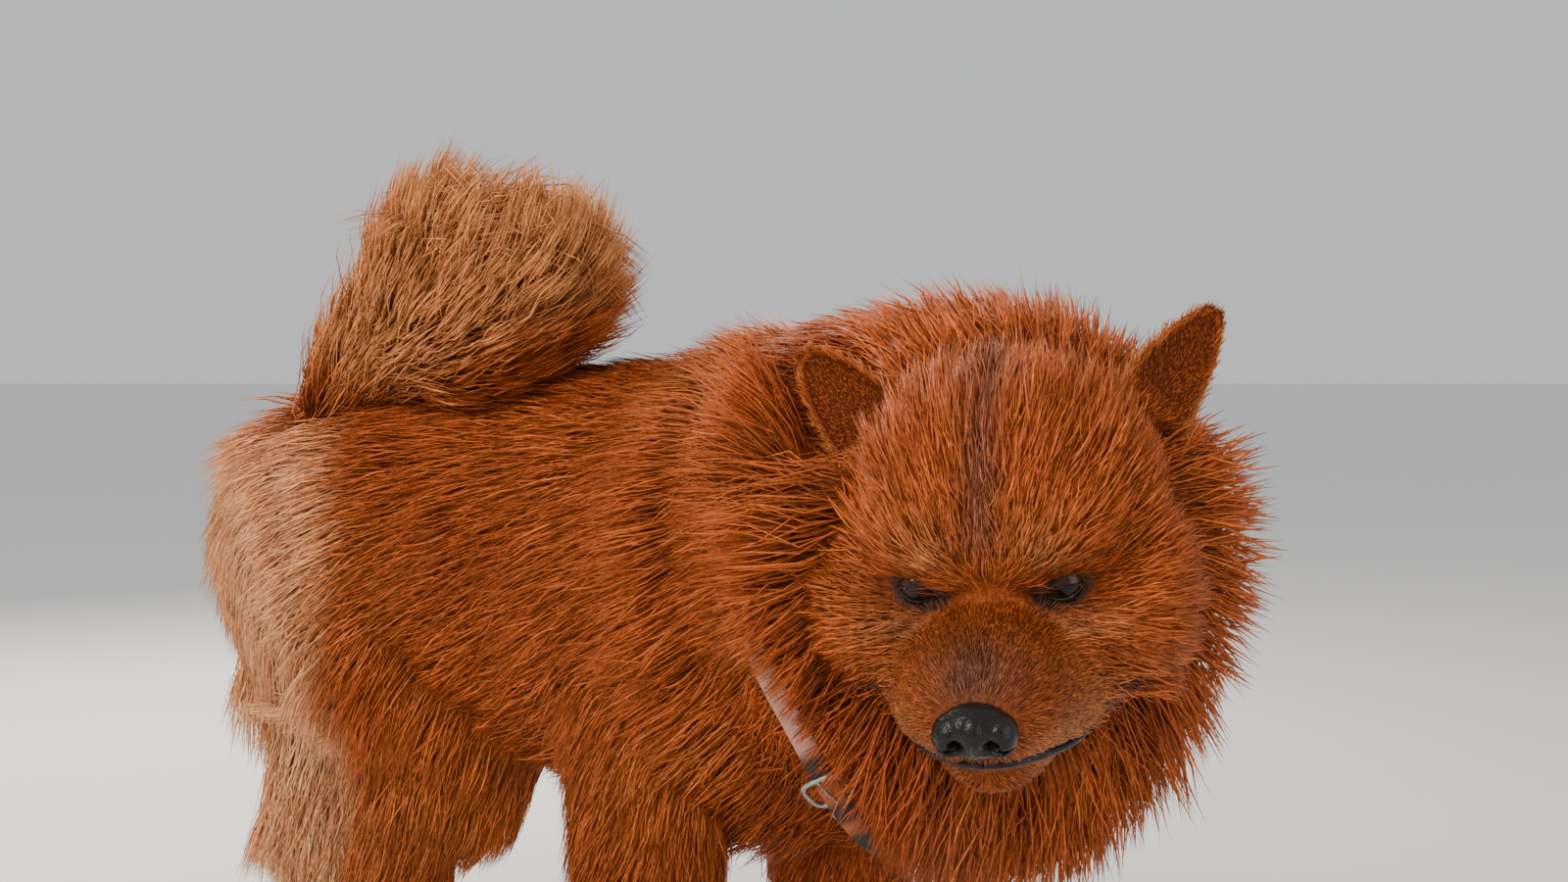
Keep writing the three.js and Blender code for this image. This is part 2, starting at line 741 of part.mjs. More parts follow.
// One whole body with its coat, then parted by thin cuts
const core = join([
  torso.solid(16, 12, -COAT),
  neck.solid(16, 7, -RUFF),
  headCore(),
  tail.solid(9, 8, -PLUME),
  ...Object.values(legs).flatMap((leg) => [
    leg.loft.solid(10, 7, leg.fore ? -FEATHER / 2 : -FEATHER),
    paw(leg.paw, leg.heading),
  ]),
]);
const section = sectionHull(core);
collarRadii = evenly(0, TURN, COLLAR_STEPS)
  .slice(0, COLLAR_STEPS)
  .map((angle) => hullRadius(section, angle) + 3);
const lids = [-1, 1].map((s) =>
  ellipsoid(eyeAt(s), V(1, 1, 0.86).multiplyScalar(EYE_RADIUS + 3.6), 12, 8, headTurn),
);
const lips = [-1, 1].map((s) => tube(mouthCurve(s, 1, 4), 4, 8, 6));
const locks = [
  ...bodyLocks,
  ...maneLocks,
  ...tailLocks,
  ...ruffLocks(),
  ...Object.values(legs).flatMap(legLocks),
];

let whole = join([core, ...lids, ...lips, ...locks]);
for (const s of [-1, 1]) {
  whole = whole.subtract(eyeSolid(s, GAP)).subtract(lidOpening(s));
  whole = whole.subtract(tube(mouthCurve(s, -2, -1), 1.8, 8, 6));
  whole = whole.subtract(ear(s, GAP));
}
whole = whole.subtract(noseSolid(GAP));
const ringAngles = [...BUCKLE_ANGLES, ...BAND_ANGLES];
whole = whole.subtract(collarBand(ringAngles, COLLAR_WIDTH + 2 * GAP, COLLAR_THICK + 2 * GAP, true));

// A block standing on a plane at a point, towards a normal; the size is its reach each way.
function block(at, normal, size, reach, shift = 0) {
  const g = new THREE.BoxGeometry(size, size, reach);
  g.translate(0, 0, reach / 2 + shift);
  g.applyQuaternion(new THREE.Quaternion().setFromUnitVectors(UP, normal.clone().normalize()));
  g.translate(at.x, at.y, at.z);
  return solidOf(g);
}

// The floor under the paws
whole = whole.subtract(block(V(0, 0, 0), V(0, 0, -1), 2000, 400));

const parts = {};
function part(name, at, normal, size, reach) {
  parts[name] = largest(whole.intersect(block(at, normal, size, reach, HALF_GAP)));
  whole = whole.subtract(block(at, normal, size + GAP, reach + GAP, -HALF_GAP));
}

// Cuts: behind the head, round the tail, under each leg's root, and through the neck
const headCut = inHead(-104, 0, -6);
part("head", headCut, FORWARD.clone().addScaledVector(UP, 0.12), 520, 320);
part("tail", V(-262, 110, 452), V(0.16, -0.1, 1), 330, 330);
for (const [name, leg] of Object.entries(legs)) {
  const height = leg.fore ? 150 : 190;
  const away = V(0, 0, -1);
  part(name, V(leg.paw.x, leg.paw.y, height), away, leg.fore ? 128 : 170, 260);
}
part("neck", COLLAR_CENTRE, COLLAR_AXIS, 700, 320);
parts.torso = largest(whole);

parts.nose = nose();
parts.eye_right = eyeSolid(-1);
parts.eye_left = eyeSolid(1);
parts.ear_right = ear(-1).subtract(earCup(-1));
parts.ear_left = ear(1).subtract(earCup(1));
parts.collar_band = collarBand(BAND_ANGLES, COLLAR_WIDTH, COLLAR_THICK);
parts.collar_buckle = collarBand(BUCKLE_ANGLES, COLLAR_WIDTH, COLLAR_THICK);

// Colours of each node
const RED = { color: 0x8f4424, roughness: 0.85, metalness: 0 };
const finishes = {
  nose: { color: 0x100d0c, roughness: 0.3, metalness: 0 },
  eye_right: { color: 0x150b07, roughness: 0.08, metalness: 0 },
  eye_left: { color: 0x150b07, roughness: 0.08, metalness: 0 },
  collar_band: { color: 0x8d5b46, roughness: 0.8, metalness: 0 },
  collar_buckle: { color: 0x8f8c88, roughness: 0.6, metalness: 0 },
  tail: { color: 0xa85b30, roughness: 0.85, metalness: 0 },
  leg_hind_left: { color: 0xb98863, roughness: 0.85, metalness: 0 },
};

const model = new THREE.Group();
for (const [name, solid] of Object.entries(parts)) {
  const mesh = new THREE.Mesh(
    geometryOf(solid),
    new THREE.MeshStandardMaterial(finishes[name] ?? RED),
  );
  mesh.name = name;
  mesh.position.copy(BASE_CENTRE).negate();
  model.add(mesh);
}

export default model;
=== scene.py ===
"""A standing chow chow, dressed for the render: skin, face, collar and a coat of mesh tufts.

Metres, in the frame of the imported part: +Z up, the body heads along +X and the right
flank faces -Y. Each piece is an operator of the sidebar panel "Chow chow".
"""

import math

import bpy
import numpy as np
from bpy.props import FloatProperty, FloatVectorProperty, IntProperty, PointerProperty
from mathutils import Matrix, Vector
from mathutils.bvhtree import BVHTree
from mathutils.kdtree import KDTree


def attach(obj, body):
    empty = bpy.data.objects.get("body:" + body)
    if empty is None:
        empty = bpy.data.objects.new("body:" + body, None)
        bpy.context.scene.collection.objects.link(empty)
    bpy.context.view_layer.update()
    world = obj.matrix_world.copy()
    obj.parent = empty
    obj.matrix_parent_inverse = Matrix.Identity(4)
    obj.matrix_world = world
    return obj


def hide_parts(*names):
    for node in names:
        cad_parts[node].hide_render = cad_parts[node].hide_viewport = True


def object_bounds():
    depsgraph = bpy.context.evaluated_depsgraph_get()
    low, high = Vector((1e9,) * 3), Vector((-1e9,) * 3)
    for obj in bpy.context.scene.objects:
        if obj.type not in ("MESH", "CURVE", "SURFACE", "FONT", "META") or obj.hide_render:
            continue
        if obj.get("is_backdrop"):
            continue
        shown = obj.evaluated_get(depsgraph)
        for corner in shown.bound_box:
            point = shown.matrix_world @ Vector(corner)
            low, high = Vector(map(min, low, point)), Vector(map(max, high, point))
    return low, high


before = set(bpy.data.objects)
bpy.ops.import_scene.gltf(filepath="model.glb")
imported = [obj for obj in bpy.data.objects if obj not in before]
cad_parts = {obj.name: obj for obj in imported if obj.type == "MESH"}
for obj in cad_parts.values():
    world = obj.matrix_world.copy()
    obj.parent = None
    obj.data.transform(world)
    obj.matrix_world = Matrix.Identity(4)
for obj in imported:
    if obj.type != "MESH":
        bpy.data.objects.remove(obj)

bl_info = {
    "name": "Chow chow",
    "version": (1, 0, 0),
    "blender": (4, 5, 0),
    "location": "3D view > Sidebar > Chow chow",
    "description": "Skin, face, collar and coat of a standing chow chow",
    "category": "Object",
}

CAD_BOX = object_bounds()
PHOTO = (1600, 900)
HORIZON = 358  # the row of the photograph that is level with the camera
TURN = 2 * math.pi
UP = np.array((0.0, 0.0, 1.0))
BASE_CENTRE = np.array((-0.0028, -0.0286, 0.0))  # centre of the base, in the body's own layout
SIDE = {"right": -1, "left": 1}
AT_ONCE = 20000  # points measured in one go, to save memory
LEAST = 0.003  # thinnest half size that a form keeps under the coat

# Depths of the coat over the skin
COAT = 0.026
RUFF = 0.036
PLUME = 0.034
FEATHER = 0.018
FACE_HAIR = 0.004

EYE_SPACING = 0.080
EYE_RADIUS = 0.0115
EYE_SLANT = 0.16
EYE_BARE = (0.0148, 0.0076)  # half width and half height of the almond without hair
LID_HALF = 0.0106
LID_UPPER = 0.0031
LID_LOWER = 0.0038
NOSE_BARE = (0.0165, 0.0215, 0.0165)  # half sizes of the part of the muzzle without hair
LIP_BARE = 0.0022
EAR_LENGTH = 0.078
EAR_WIDTH = 0.064
EAR_DEPTH = 0.030
LEG_WIDTH = 0.080
PAW_LENGTH = 0.088
PAW_WIDTH = 0.074
TOES = [  # how far ahead and to the side of the paw's middle
    (0.034 if i in (1, 2) else 0.025, (i - 1.5) * (PAW_WIDTH / 4) * 0.98) for i in range(4)
]


# Small helpers for points held as rows of an array

def spot(x, y, z):
    """A place of the body's own layout, in the frame of the part."""
    return np.array((x, y, z), float) - BASE_CENTRE


def unit(v):
    """Rows scaled to length one."""
    v = np.asarray(v, float)
    return v / np.maximum(np.linalg.norm(v, axis=-1, keepdims=True), 1e-9)


def smooth(t):
    """An eased step from 0 to 1."""
    t = np.clip(t, 0, 1)
    return t * t * (3 - 2 * t)


def ramp(value, low, high):
    """0 at low and 1 at high, eased; high may be the smaller one."""
    return smooth((value - low) / (high - low))


def bump(points, centre, radius):
    """1 at the centre, falling off round it; the radius is one number or one for each axis."""
    return np.exp(-np.sum(((points - np.asarray(centre)) / radius) ** 2, axis=-1))


def mixed(a, b, share):
    """Rows of a turned into b by a share for each row."""
    return a + (np.asarray(b) - a) * share[:, None]


def dot(a, b):
    """The dot product of each row of a with that of b."""
    return np.sum(a * b, axis=-1)


def spline(points, u):
    """A smooth curve through rows of points; u runs from 0 to 1 evenly over the rows."""
    points = np.asarray(points, float)
    count = len(points) - 1
    x = np.clip(u, 0, 1) * count
    i = np.minimum(x.astype(int), count - 1)
    t = (x - i)[:, None]
    p = np.vstack((2 * points[0] - points[1], points, 2 * points[-1] - points[-2]))
    a, b, c, d = (p[i + k] for k in range(4))
    bend, twist = 2 * a - 5 * b + 4 * c - d, 3 * b - a - 3 * c + d
    return 0.5 * (2 * b + (c - a) * t + bend * t**2 + twist * t**3)


def waves(points, scale, seed=0.0):
    """A smooth, aimless value from -1 to 1 over the points."""
    p = np.asarray(points) / scale + seed
    x, y, z = p[..., 0], p[..., 1], p[..., 2]
    value = np.sin(1.7 * x + 2.1 * np.sin(0.9 * y + 0.4))
    value = value + np.sin(1.9 * y + 1.7 * np.sin(1.1 * z))
    value += np.sin(1.3 * z + 2.3 * np.sin(0.8 * x + 1.3)) + 0.7 * np.sin(3.1 * (x + y - z))
    return value / 3.7


# Faces over rings of points

def quads(rings, sides, loop=False):
    """Faces between rings of points, closed round; loop joins the last ring to the first."""
    faces = []
    for r in range(rings if loop else rings - 1):
        a, b = r * sides, (r + 1) % rings * sides
        for i in range(sides):
            j = (i + 1) % sides
            faces.append((a + i, a + j, b + j, b + i))
    return faces


def caps(rings, sides):
    """The two faces that close the ends of a tube of rings."""
    last = (rings - 1) * sides
    return [tuple(range(sides))[::-1], tuple(range(last, last + sides))]


def turned(faces):
    """The same faces, facing the other way."""
    return [face[:1] + face[:0:-1] for face in faces]


def ball_points(columns, rows):
    """Directions in rings over a ball, and its two poles."""
    lat = np.linspace(0, math.pi, rows + 1)[1:-1]
    lon = np.arange(columns) * TURN / columns
    la, lo = np.meshgrid(lat, lon, indexing="ij")
    ring = np.stack((np.sin(la) * np.cos(lo), np.sin(la) * np.sin(lo), np.cos(la)), -1)
    return np.vstack((ring.reshape(-1, 3), (0, 0, 1), (0, 0, -1)))


def ball_faces(columns, rows):
    """Faces between the rings of ball_points, and a fan round each pole."""
    faces = quads(rows - 1, columns)
    pole, last = (rows - 1) * columns, (rows - 2) * columns
    for i in range(columns):
        j = (i + 1) % columns
        faces += [(pole, j, i), (pole + 1, last + i, last + j)]
    return faces


# Forms of the body: lofts along a line of stations

class Loft:
    """A body along stations of place, half width, height above and below the centre."""

    def __init__(self, stations, side_hint=None, depth=0.0):
        self.places = np.array([s[0] for s in stations])
        self.sizes = np.array([s[1:] for s in stations])
        self.side_hint = side_hint
        self.depth = depth
        self.marks = np.linspace(0.01, 0.99, 60)
        self.mark_centres = spline(self.places, self.marks)
        self.mark_axes = self.axes(self.marks)
        self.mark_sizes = self.size(self.marks)

    def size(self, u):
        count = len(self.sizes) - 1
        x = np.clip(u, 0, 1) * count
        i = np.minimum(x.astype(int), count - 1)
        t = smooth(x - i)[:, None]
        return self.sizes[i] * (1 - t) + self.sizes[i + 1] * t

    def axes(self, u):
        step = 0.004
        ahead = unit(spline(self.places, u + step) - spline(self.places, u - step))
        hint = self.side_hint if self.side_hint is not None else np.cross(UP, ahead)
        hint = np.broadcast_to(hint, ahead.shape)
        side = unit(hint - ahead * dot(hint, ahead)[:, None])
        return ahead, side, np.cross(ahead, side)

    def mesh(self, sides, steps):
        """Verts and faces of the form, inside by the coat's depth."""
        u = np.repeat(np.linspace(0, 1, steps + 1), sides)
        angle = np.tile(np.arange(sides) * TURN / sides, steps + 1)
        _, side, top = self.axes(u)
        wide, above, below = self.size(u).T
        s = np.sin(angle)
        tall = np.where(s > 0, above, below)
        reach_side = np.maximum(wide - self.depth, LEAST) * np.cos(angle)
        reach_top = np.maximum(tall - self.depth, LEAST) * s
        verts = spline(self.places, u) + side * reach_side[:, None] + top * reach_top[:, None]
        return verts, quads(steps + 1, sides) + caps(steps + 1, sides)

    def measure(self, points):
        """For each point the share of the length, its radius (1 on the skin) and the angle."""
        ahead, side, top = self.mark_axes
        wide, above, below = (self.mark_sizes - self.depth).T
        u, radius, angle = (np.zeros(len(points)) for _ in range(3))
        for start in range(0, len(points), AT_ONCE):
            part = slice(start, start + AT_ONCE)
            away = points[part, None] - self.mark_centres[None]
            a = np.einsum("nmk,mk->nm", away, ahead)
            s = np.einsum("nmk,mk->nm", away, side)
            t = np.einsum("nmk,mk->nm", away, top)
            tall = np.where(t > 0, above, below)
            value = np.sqrt((s / wide) ** 2 + (t / tall) ** 2 + (a / 0.05) ** 2)
            best = value.argmin(axis=1)
            rows = np.arange(len(best))
            u[part] = self.marks[best]
            radius[part] = value[rows, best]
            angle[part] = np.arctan2((t / tall)[rows, best], (s / wide)[rows, best])
        return u, radius, angle


HALF_CHEST = 0.152
TORSO = Loft(
    [
        (spot(-0.336, 0.106, 0.334), 0.034, 0.036, 0.042),
        (spot(-0.322, 0.114, 0.336), 0.082, 0.086, 0.098),
        (spot(-0.292, 0.126, 0.342), 0.126, 0.124, 0.136),
        (spot(-0.244, 0.138, 0.348), HALF_CHEST - 0.004, 0.138, 0.152),
        (spot(-0.164, 0.132, 0.352), HALF_CHEST, 0.146, 0.142),
        (spot(-0.072, 0.098, 0.352), HALF_CHEST + 0.006, 0.152, 0.172),
        (spot(0.014, 0.040, 0.352), HALF_CHEST + 0.010, 0.158, 0.194),
        (spot(0.084, -0.022, 0.354), HALF_CHEST + 0.008, 0.172, 0.198),
        (spot(0.134, -0.076, 0.352), 0.130, 0.148, 0.168),
        (spot(0.158, -0.100, 0.350), 0.070, 0.078, 0.084),
    ],
    depth=COAT,
)
NECK = Loft(
    [
        (spot(0.030, 0.030, 0.366), 0.116, 0.134, 0.150),
        (spot(0.092, -0.036, 0.374), 0.146, 0.154, 0.190),
        (spot(0.150, -0.102, 0.382), 0.156, 0.160, 0.208),
        (spot(0.192, -0.150, 0.384), 0.160, 0.158, 0.208),
        (spot(0.206, -0.190, 0.382), 0.146, 0.140, 0.180),
        (spot(0.212, -0.218, 0.380), 0.096, 0.092, 0.112),
    ],
    depth=RUFF,
)
TAIL = Loft(
    [
        (spot(-0.290, 0.128, 0.392), 0.044, 0.044, 0.044),
        (spot(-0.270, 0.118, 0.434), 0.054, 0.054, 0.054),
        (spot(-0.222, 0.100, 0.480), 0.064, 0.064, 0.064),
        (spot(-0.168, 0.082, 0.524), 0.090, 0.084, 0.084),
        (spot(-0.142, 0.076, 0.556), 0.100, 0.094, 0.094),
        (spot(-0.138, 0.074, 0.580), 0.084, 0.078, 0.078),
        (spot(-0.138, 0.074, 0.600), 0.062, 0.058, 0.058),
        (spot(-0.138, 0.074, 0.614), 0.038, 0.037, 0.037),
    ],
    side_hint=np.array((0.0, 1.0, 0.0)),
    depth=PLUME,
)

FORE_HEADING = np.array((math.cos(0.62), -math.sin(0.62), 0))
HIND_HEADING = np.array((math.cos(0.28), math.sin(0.28), 0))


def at_height(place, height):
    """The point over a place on the ground."""
    return np.array((place[0], place[1], height))


def foreleg(paw, elbow):
    """The loft of a foreleg from its paw's ground point and its elbow."""
    w = LEG_WIDTH / 2
    knee = elbow + (paw - elbow) * 0.6
    return Loft(
        [
            (elbow + (0, 0, 0.07), w * 1.2, w * 1.7, w * 1.7),
            (elbow, w * 1.45, w * 1.7, w * 1.7),
            (at_height(knee, 0.15), w * 1.22, w * 1.36, w * 1.36),
            (at_height(paw, 0.092), w * 1.04, w * 1.1, w * 1.1),
            (at_height(paw, 0.048), w, w * 1.05, w * 1.05),
            (at_height(paw, 0.026), w * 0.7, w * 0.7, w * 0.7),
        ],
        side_hint=np.array((0.0, 1.0, 0.0)),
        depth=FEATHER / 2,
    )


def hindleg(paw, hip):
    """The loft of a hind leg from its paw's ground point and its hip."""
    w = LEG_WIDTH / 2

    def ahead(distance, height):
        return at_height(paw + HIND_HEADING * distance, height)

    return Loft(
        [
            (hip, w * 1.7, w * 2.2, w * 2.2),
            (ahead(0.014, 0.262), w * 1.6, w * 2.35, w * 2.35),
            (ahead(0.004, 0.198), w * 1.25, w * 1.8, w * 1.8),
            (ahead(-0.022, 0.146), w * 0.98, w * 1.15, w * 1.15),
            (ahead(-0.018, 0.092), w * 0.86, w * 0.92, w * 0.92),
            (ahead(-0.008, 0.048), w * 0.84, w * 0.9, w * 0.9),
            (ahead(-0.002, 0.026), w * 0.7, w * 0.7, w * 0.7),
        ],
        side_hint=np.cross(UP, HIND_HEADING),
        depth=FEATHER * 0.6,
    )


LEGS = {
    "fore_right": (spot(-0.024, -0.084, 0), spot(-0.010, -0.046, 0.262), FORE_HEADING),
    "fore_left": (spot(0.112, 0.024, 0), spot(0.104, 0.020, 0.262), FORE_HEADING),
    "hind_right": (spot(-0.176, 0.070, 0), spot(-0.212, 0.074, 0.322), HIND_HEADING),
    "hind_left": (spot(-0.272, 0.194, 0), spot(-0.258, 0.184, 0.322), HIND_HEADING),
}
LEG_LOFTS = {
    name: foreleg(paw, top) if name.startswith("fore") else hindleg(paw, top)
    for name, (paw, top, _) in LEGS.items()
}

# Head frame: the eyes' middle, and the directions down the muzzle, to the left and up
EYES = spot(0.183, -0.270, 0.372)
HEAD_YAW = math.radians(13)
HEAD_PITCH = math.radians(27)
HEAD_ROLL = math.radians(3)
LEVEL = np.array((-math.sin(HEAD_YAW), -math.cos(HEAD_YAW), 0))
FORWARD = LEVEL * math.cos(HEAD_PITCH) - UP * math.sin(HEAD_PITCH)
ROLL = Matrix.Rotation(HEAD_ROLL, 3, Vector(FORWARD))
LEFT = np.array(ROLL @ Vector(unit(np.cross(UP, LEVEL))))
CROWN = np.cross(FORWARD, LEFT)
HEAD_AXES = np.array((FORWARD, LEFT, CROWN))

# Masses of the head in its own frame: centre and half sizes
HEAD_MASSES = (
    ((-0.068, 0, 0.008), (0.078, 0.076, 0.068)),  # skull
    ((-0.036, 0.050, -0.034), (0.052, 0.040, 0.046)),  # left cheek
    ((-0.036, -0.050, -0.034), (0.052, 0.040, 0.046)),  # right cheek
    ((0.036, 0, -0.038), (0.052, 0.046, 0.034)),  # muzzle
    ((0.054, 0, -0.036), (0.036, 0.042, 0.030)),  # blunt end of the muzzle
    ((0.016, 0.037, -0.058), (0.040, 0.022, 0.022)),  # left flew
    ((0.016, -0.037, -0.058), (0.040, 0.022, 0.022)),  # right flew
    ((0.028, 0, -0.082), (0.050, 0.036, 0.022)),  # lower jaw
    ((-0.012, 0.035, 0.019), (0.022, 0.021, 0.013)),  # left brow
    ((-0.012, -0.035, 0.019), (0.022, 0.021, 0.013)),  # right brow
)
HEAD_HEART = np.array((-0.022, 0, -0.018))
HEAD_BLEND = 0.0073
NOSE_AT = np.array((0.091, 0, -0.032))
EYE_AT = {side: (-0.006, sign * EYE_SPACING / 2, -0.004) for side, sign in SIDE.items()}


def in_head(local):
    """Points of the head's own frame, in the frame of the part."""
    return EYES + np.asarray(local, float) @ HEAD_AXES


def to_head(points):
    """Points of the part's frame, in the head's own frame."""
    return (points - EYES) @ HEAD_AXES.T


def head_distance(local):
    """How far a point stands over the smooth blend of the head's masses."""
    total = 0
    for centre, size in HEAD_MASSES:
        r = np.linalg.norm((local - np.array(centre)) / size, axis=-1)
        total = total + np.exp(-(r - 1) * min(size) / HEAD_BLEND)
    return -np.log(np.maximum(total, 1e-300)) * HEAD_BLEND


def head_reach(directions, inset):
    """Points of the head's surface along directions from its heart, in its own frame."""
    near = np.full(len(directions), 0.005)
    far = np.full(len(directions), 0.19)
    for _ in range(22):
        middle = (near + far) / 2
        inside = head_distance(HEAD_HEART + directions * middle[:, None]) < -inset
        near = np.where(inside, middle, near)
        far = np.where(inside, far, middle)
    return HEAD_HEART + directions * near[:, None]


def mouth_line(side, count=40):
    """The line between the lips on one side, on the head's surface, in its own frame."""
    rough = spline(
        [
            (0.089, 0, -0.060),
            (0.082, side * 0.019, -0.066),
            (0.062, side * 0.036, -0.070),
            (0.036, side * 0.044, -0.070),
            (0.008, side * 0.047, -0.062),
            (-0.010, side * 0.054, -0.052),
        ],
        np.linspace(0, 1, count),
    )
    return head_reach(unit(rough - HEAD_HEART), FACE_HAIR)


MOUTH = {side: mouth_line(sign) for side, sign in SIDE.items()}


def mouth_distance(local):
    """Distance to the line between the lips."""
    lines = np.vstack(list(MOUTH.values()))
    out = np.empty(len(local))
    for start in range(0, len(local), AT_ONCE):
        part = slice(start, start + AT_ONCE)
        out[part] = np.linalg.norm(local[part, None] - lines[None], axis=-1).min(axis=1)
    return out


def eye_distance(local):
    """Distance to the nearer eye's centre."""
    return np.minimum(*(np.linalg.norm(local - np.array(c), axis=-1) for c in EYE_AT.values()))


def almond(local, side):
    """Along and across one eye's slanting almond."""
    away = local - np.array(EYE_AT[side])
    c, s = math.cos(EYE_SLANT), SIDE[side] * math.sin(EYE_SLANT)
    return away[:, 1] * c + away[:, 2] * s, away[:, 2] * c - away[:, 1] * s


def opening(local):
    """Below 1 within the bare almond round an eye, above 1 outside it and along the muzzle."""
    least = np.full(len(local), 9.0)
    for side in SIDE:
        along, across = almond(local, side)
        reach = np.hypot(along / EYE_BARE[0], across / EYE_BARE[1])
        reach = reach + 3 * ramp(local[:, 0], 0.009, 0.015)
        least = np.where(local[:, 0] > -0.03, np.minimum(least, reach), least)
    return least


def head_mesh(columns=220, rows=150):
    """The head's skin: the blend of its masses with a brow groove, eye hollows and a mouth."""
    directions = ball_points(columns, rows)[:, (0, 2, 1)].copy()
    local = head_reach(directions, FACE_HAIR)
    groove = np.exp(-((local[:, 1] / 0.006) ** 2)) * ramp(local[:, 2], 0.005, 0.03)
    groove *= ramp(local[:, 2], 0.10, 0.07) * (local[:, 0] > -0.06)
    hollow = np.exp(-((eye_distance(local) / 0.020) ** 2))
    hollow = hollow + 9 * ramp(opening(local), 1.10, 0.86)
    slit = np.exp(-((mouth_distance(local) / 0.0032) ** 2))
    lip = np.exp(-(((mouth_distance(local) - 0.0065) / 0.004) ** 2))
    shift = -0.0035 * groove - 0.0010 * hollow - 0.005 * slit + 0.0014 * lip
    return in_head(local + directions * shift[:, None]), ball_faces(columns, rows)


# Making and joining meshes

def link(obj):
    bpy.context.scene.collection.objects.link(obj)
    return obj


def mesh_object(name, verts, faces):
    mesh = bpy.data.meshes.new(name)
    mesh.from_pydata([tuple(v) for v in verts], [], faces)
    mesh.update()
    return link(bpy.data.objects.new(name, mesh))


def globe(centre, radii, turn=None, columns=24, rows=16):
    """Verts and faces of an ellipsoid; the rows of turn are its own axes."""
    verts = ball_points(columns, rows) * radii
    verts = verts @ (np.eye(3) if turn is None else turn) + centre
    return verts, turned(ball_faces(columns, rows))


def joined(name, pieces):
    """One object of several verts and faces pairs."""
    verts, faces, start = [], [], 0
    for v, f in pieces:
        verts.extend(v)
        faces.extend(tuple(start + i for i in face) for face in f)
        start += len(v)
    return mesh_object(name, verts, faces)


def fused(name, pieces, voxel, rounds, factor=0.5):
    """One smooth closed skin over several verts and faces pairs."""
    rough = joined(name + "_rough", pieces)
    remesh = rough.modifiers.new("Fuse", "REMESH")
    remesh.mode = "VOXEL"
    remesh.voxel_size = voxel
    soften = rough.modifiers.new("Soften", "SMOOTH")
    soften.iterations = rounds
    soften.factor = factor
    depsgraph = bpy.context.evaluated_depsgraph_get()
    mesh = bpy.data.meshes.new_from_object(rough.evaluated_get(depsgraph))
    bpy.data.objects.remove(rough)
    mesh.name = name
    return link(bpy.data.objects.new(name, mesh))


def shade_smooth(obj):
    obj.data.polygons.foreach_set("use_smooth", [True] * len(obj.data.polygons))
    obj.data.update()
    return obj


def dressed(obj, slot, material, *nodes):
    """The piece gets its material, rides on the body and stands for CAD nodes; the slot is not
    used.
    """
    obj.data.materials.clear()
    obj.data.materials.append(material)
    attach(obj, "root")
    if nodes:
        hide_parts(*nodes)
    return obj


def coords(mesh):
    """The places of the mesh's vertices, as rows."""
    co = np.empty(len(mesh.vertices) * 3, np.float32)
    mesh.vertices.foreach_get("co", co)
    return co.reshape(-1, 3).astype(float)


def move_to(obj, co):
    """The piece's vertices take new places."""
    obj.data.vertices.foreach_set("co", co.astype(np.float32).ravel())
    obj.data.update()


def paint(mesh, name, colours):
    """A colour for each vertex."""
    layer = mesh.color_attributes.new(name, "FLOAT_COLOR", "POINT")
    rgba = np.ones((len(colours), 4), np.float32)
    rgba[:, :3] = colours
    layer.data.foreach_set("color", rgba.ravel())


def values(mesh, name, numbers):
    """A number for each vertex."""
    layer = mesh.attributes.new(name, "FLOAT", "POINT")
    layer.data.foreach_set("value", np.asarray(numbers, np.float32))


# Markings and painted shade: the same on the skin and on the coat

def shades(*names):
    """Colours of the settings, by their names."""
    settings = bpy.context.scene.chow_colours
    return [np.array(getattr(settings, name)) for name in names]


def markings(points):
    """The coat's colour at each point."""
    return face_markings_and_shade(body_markings(points), to_head(points))


def body_markings(points):
    """Mahogany with darker and lighter clouds, cream breeches and far leg, a tan tail."""
    mahogany, deep, orange, tan, cream = shades("mahogany", "deep", "orange", "tan", "cream")
    layout = points + BASE_CENTRE
    x, y, z = layout.T
    colour = np.tile(mahogany, (len(points), 1))
    colour = mixed(colour, deep, 0.45 * ramp(waves(points, 0.05), 0.0, 0.9))
    colour = mixed(colour, orange, 0.40 * ramp(waves(points, 0.07, 5.0), 0.1, 0.9))
    belly = ramp(z, 0.30, 0.16) * (x < 0.02)
    colour = mixed(colour, orange, 0.35 * belly)
    breeches = ramp(x + 0.02 * waves(points, 0.03), -0.222, -0.252) * ramp(z, 0.47, 0.40)
    colour = mixed(colour, cream, 0.92 * breeches)
    far_leg = ramp(y, 0.125, 0.165) * ramp(z, 0.30, 0.24) * ramp(x, -0.20, -0.23)
    colour = mixed(colour, cream, 0.92 * far_leg)
    tail = ramp(z + 0.35 * np.minimum(x + 0.1, 0), 0.405, 0.44) * ramp(x, -0.02, -0.06)
    tail = tail * (z > 0.41) * ramp(z - 0.5 * (x + 0.30), 0.415, 0.445)
    colour = mixed(colour, tan, 0.9 * tail)
    chest = bump(layout, (0.174, -0.200, 0.224), (0.020, 0.03, 0.030))
    return mixed(colour, cream, 0.6 * chest)


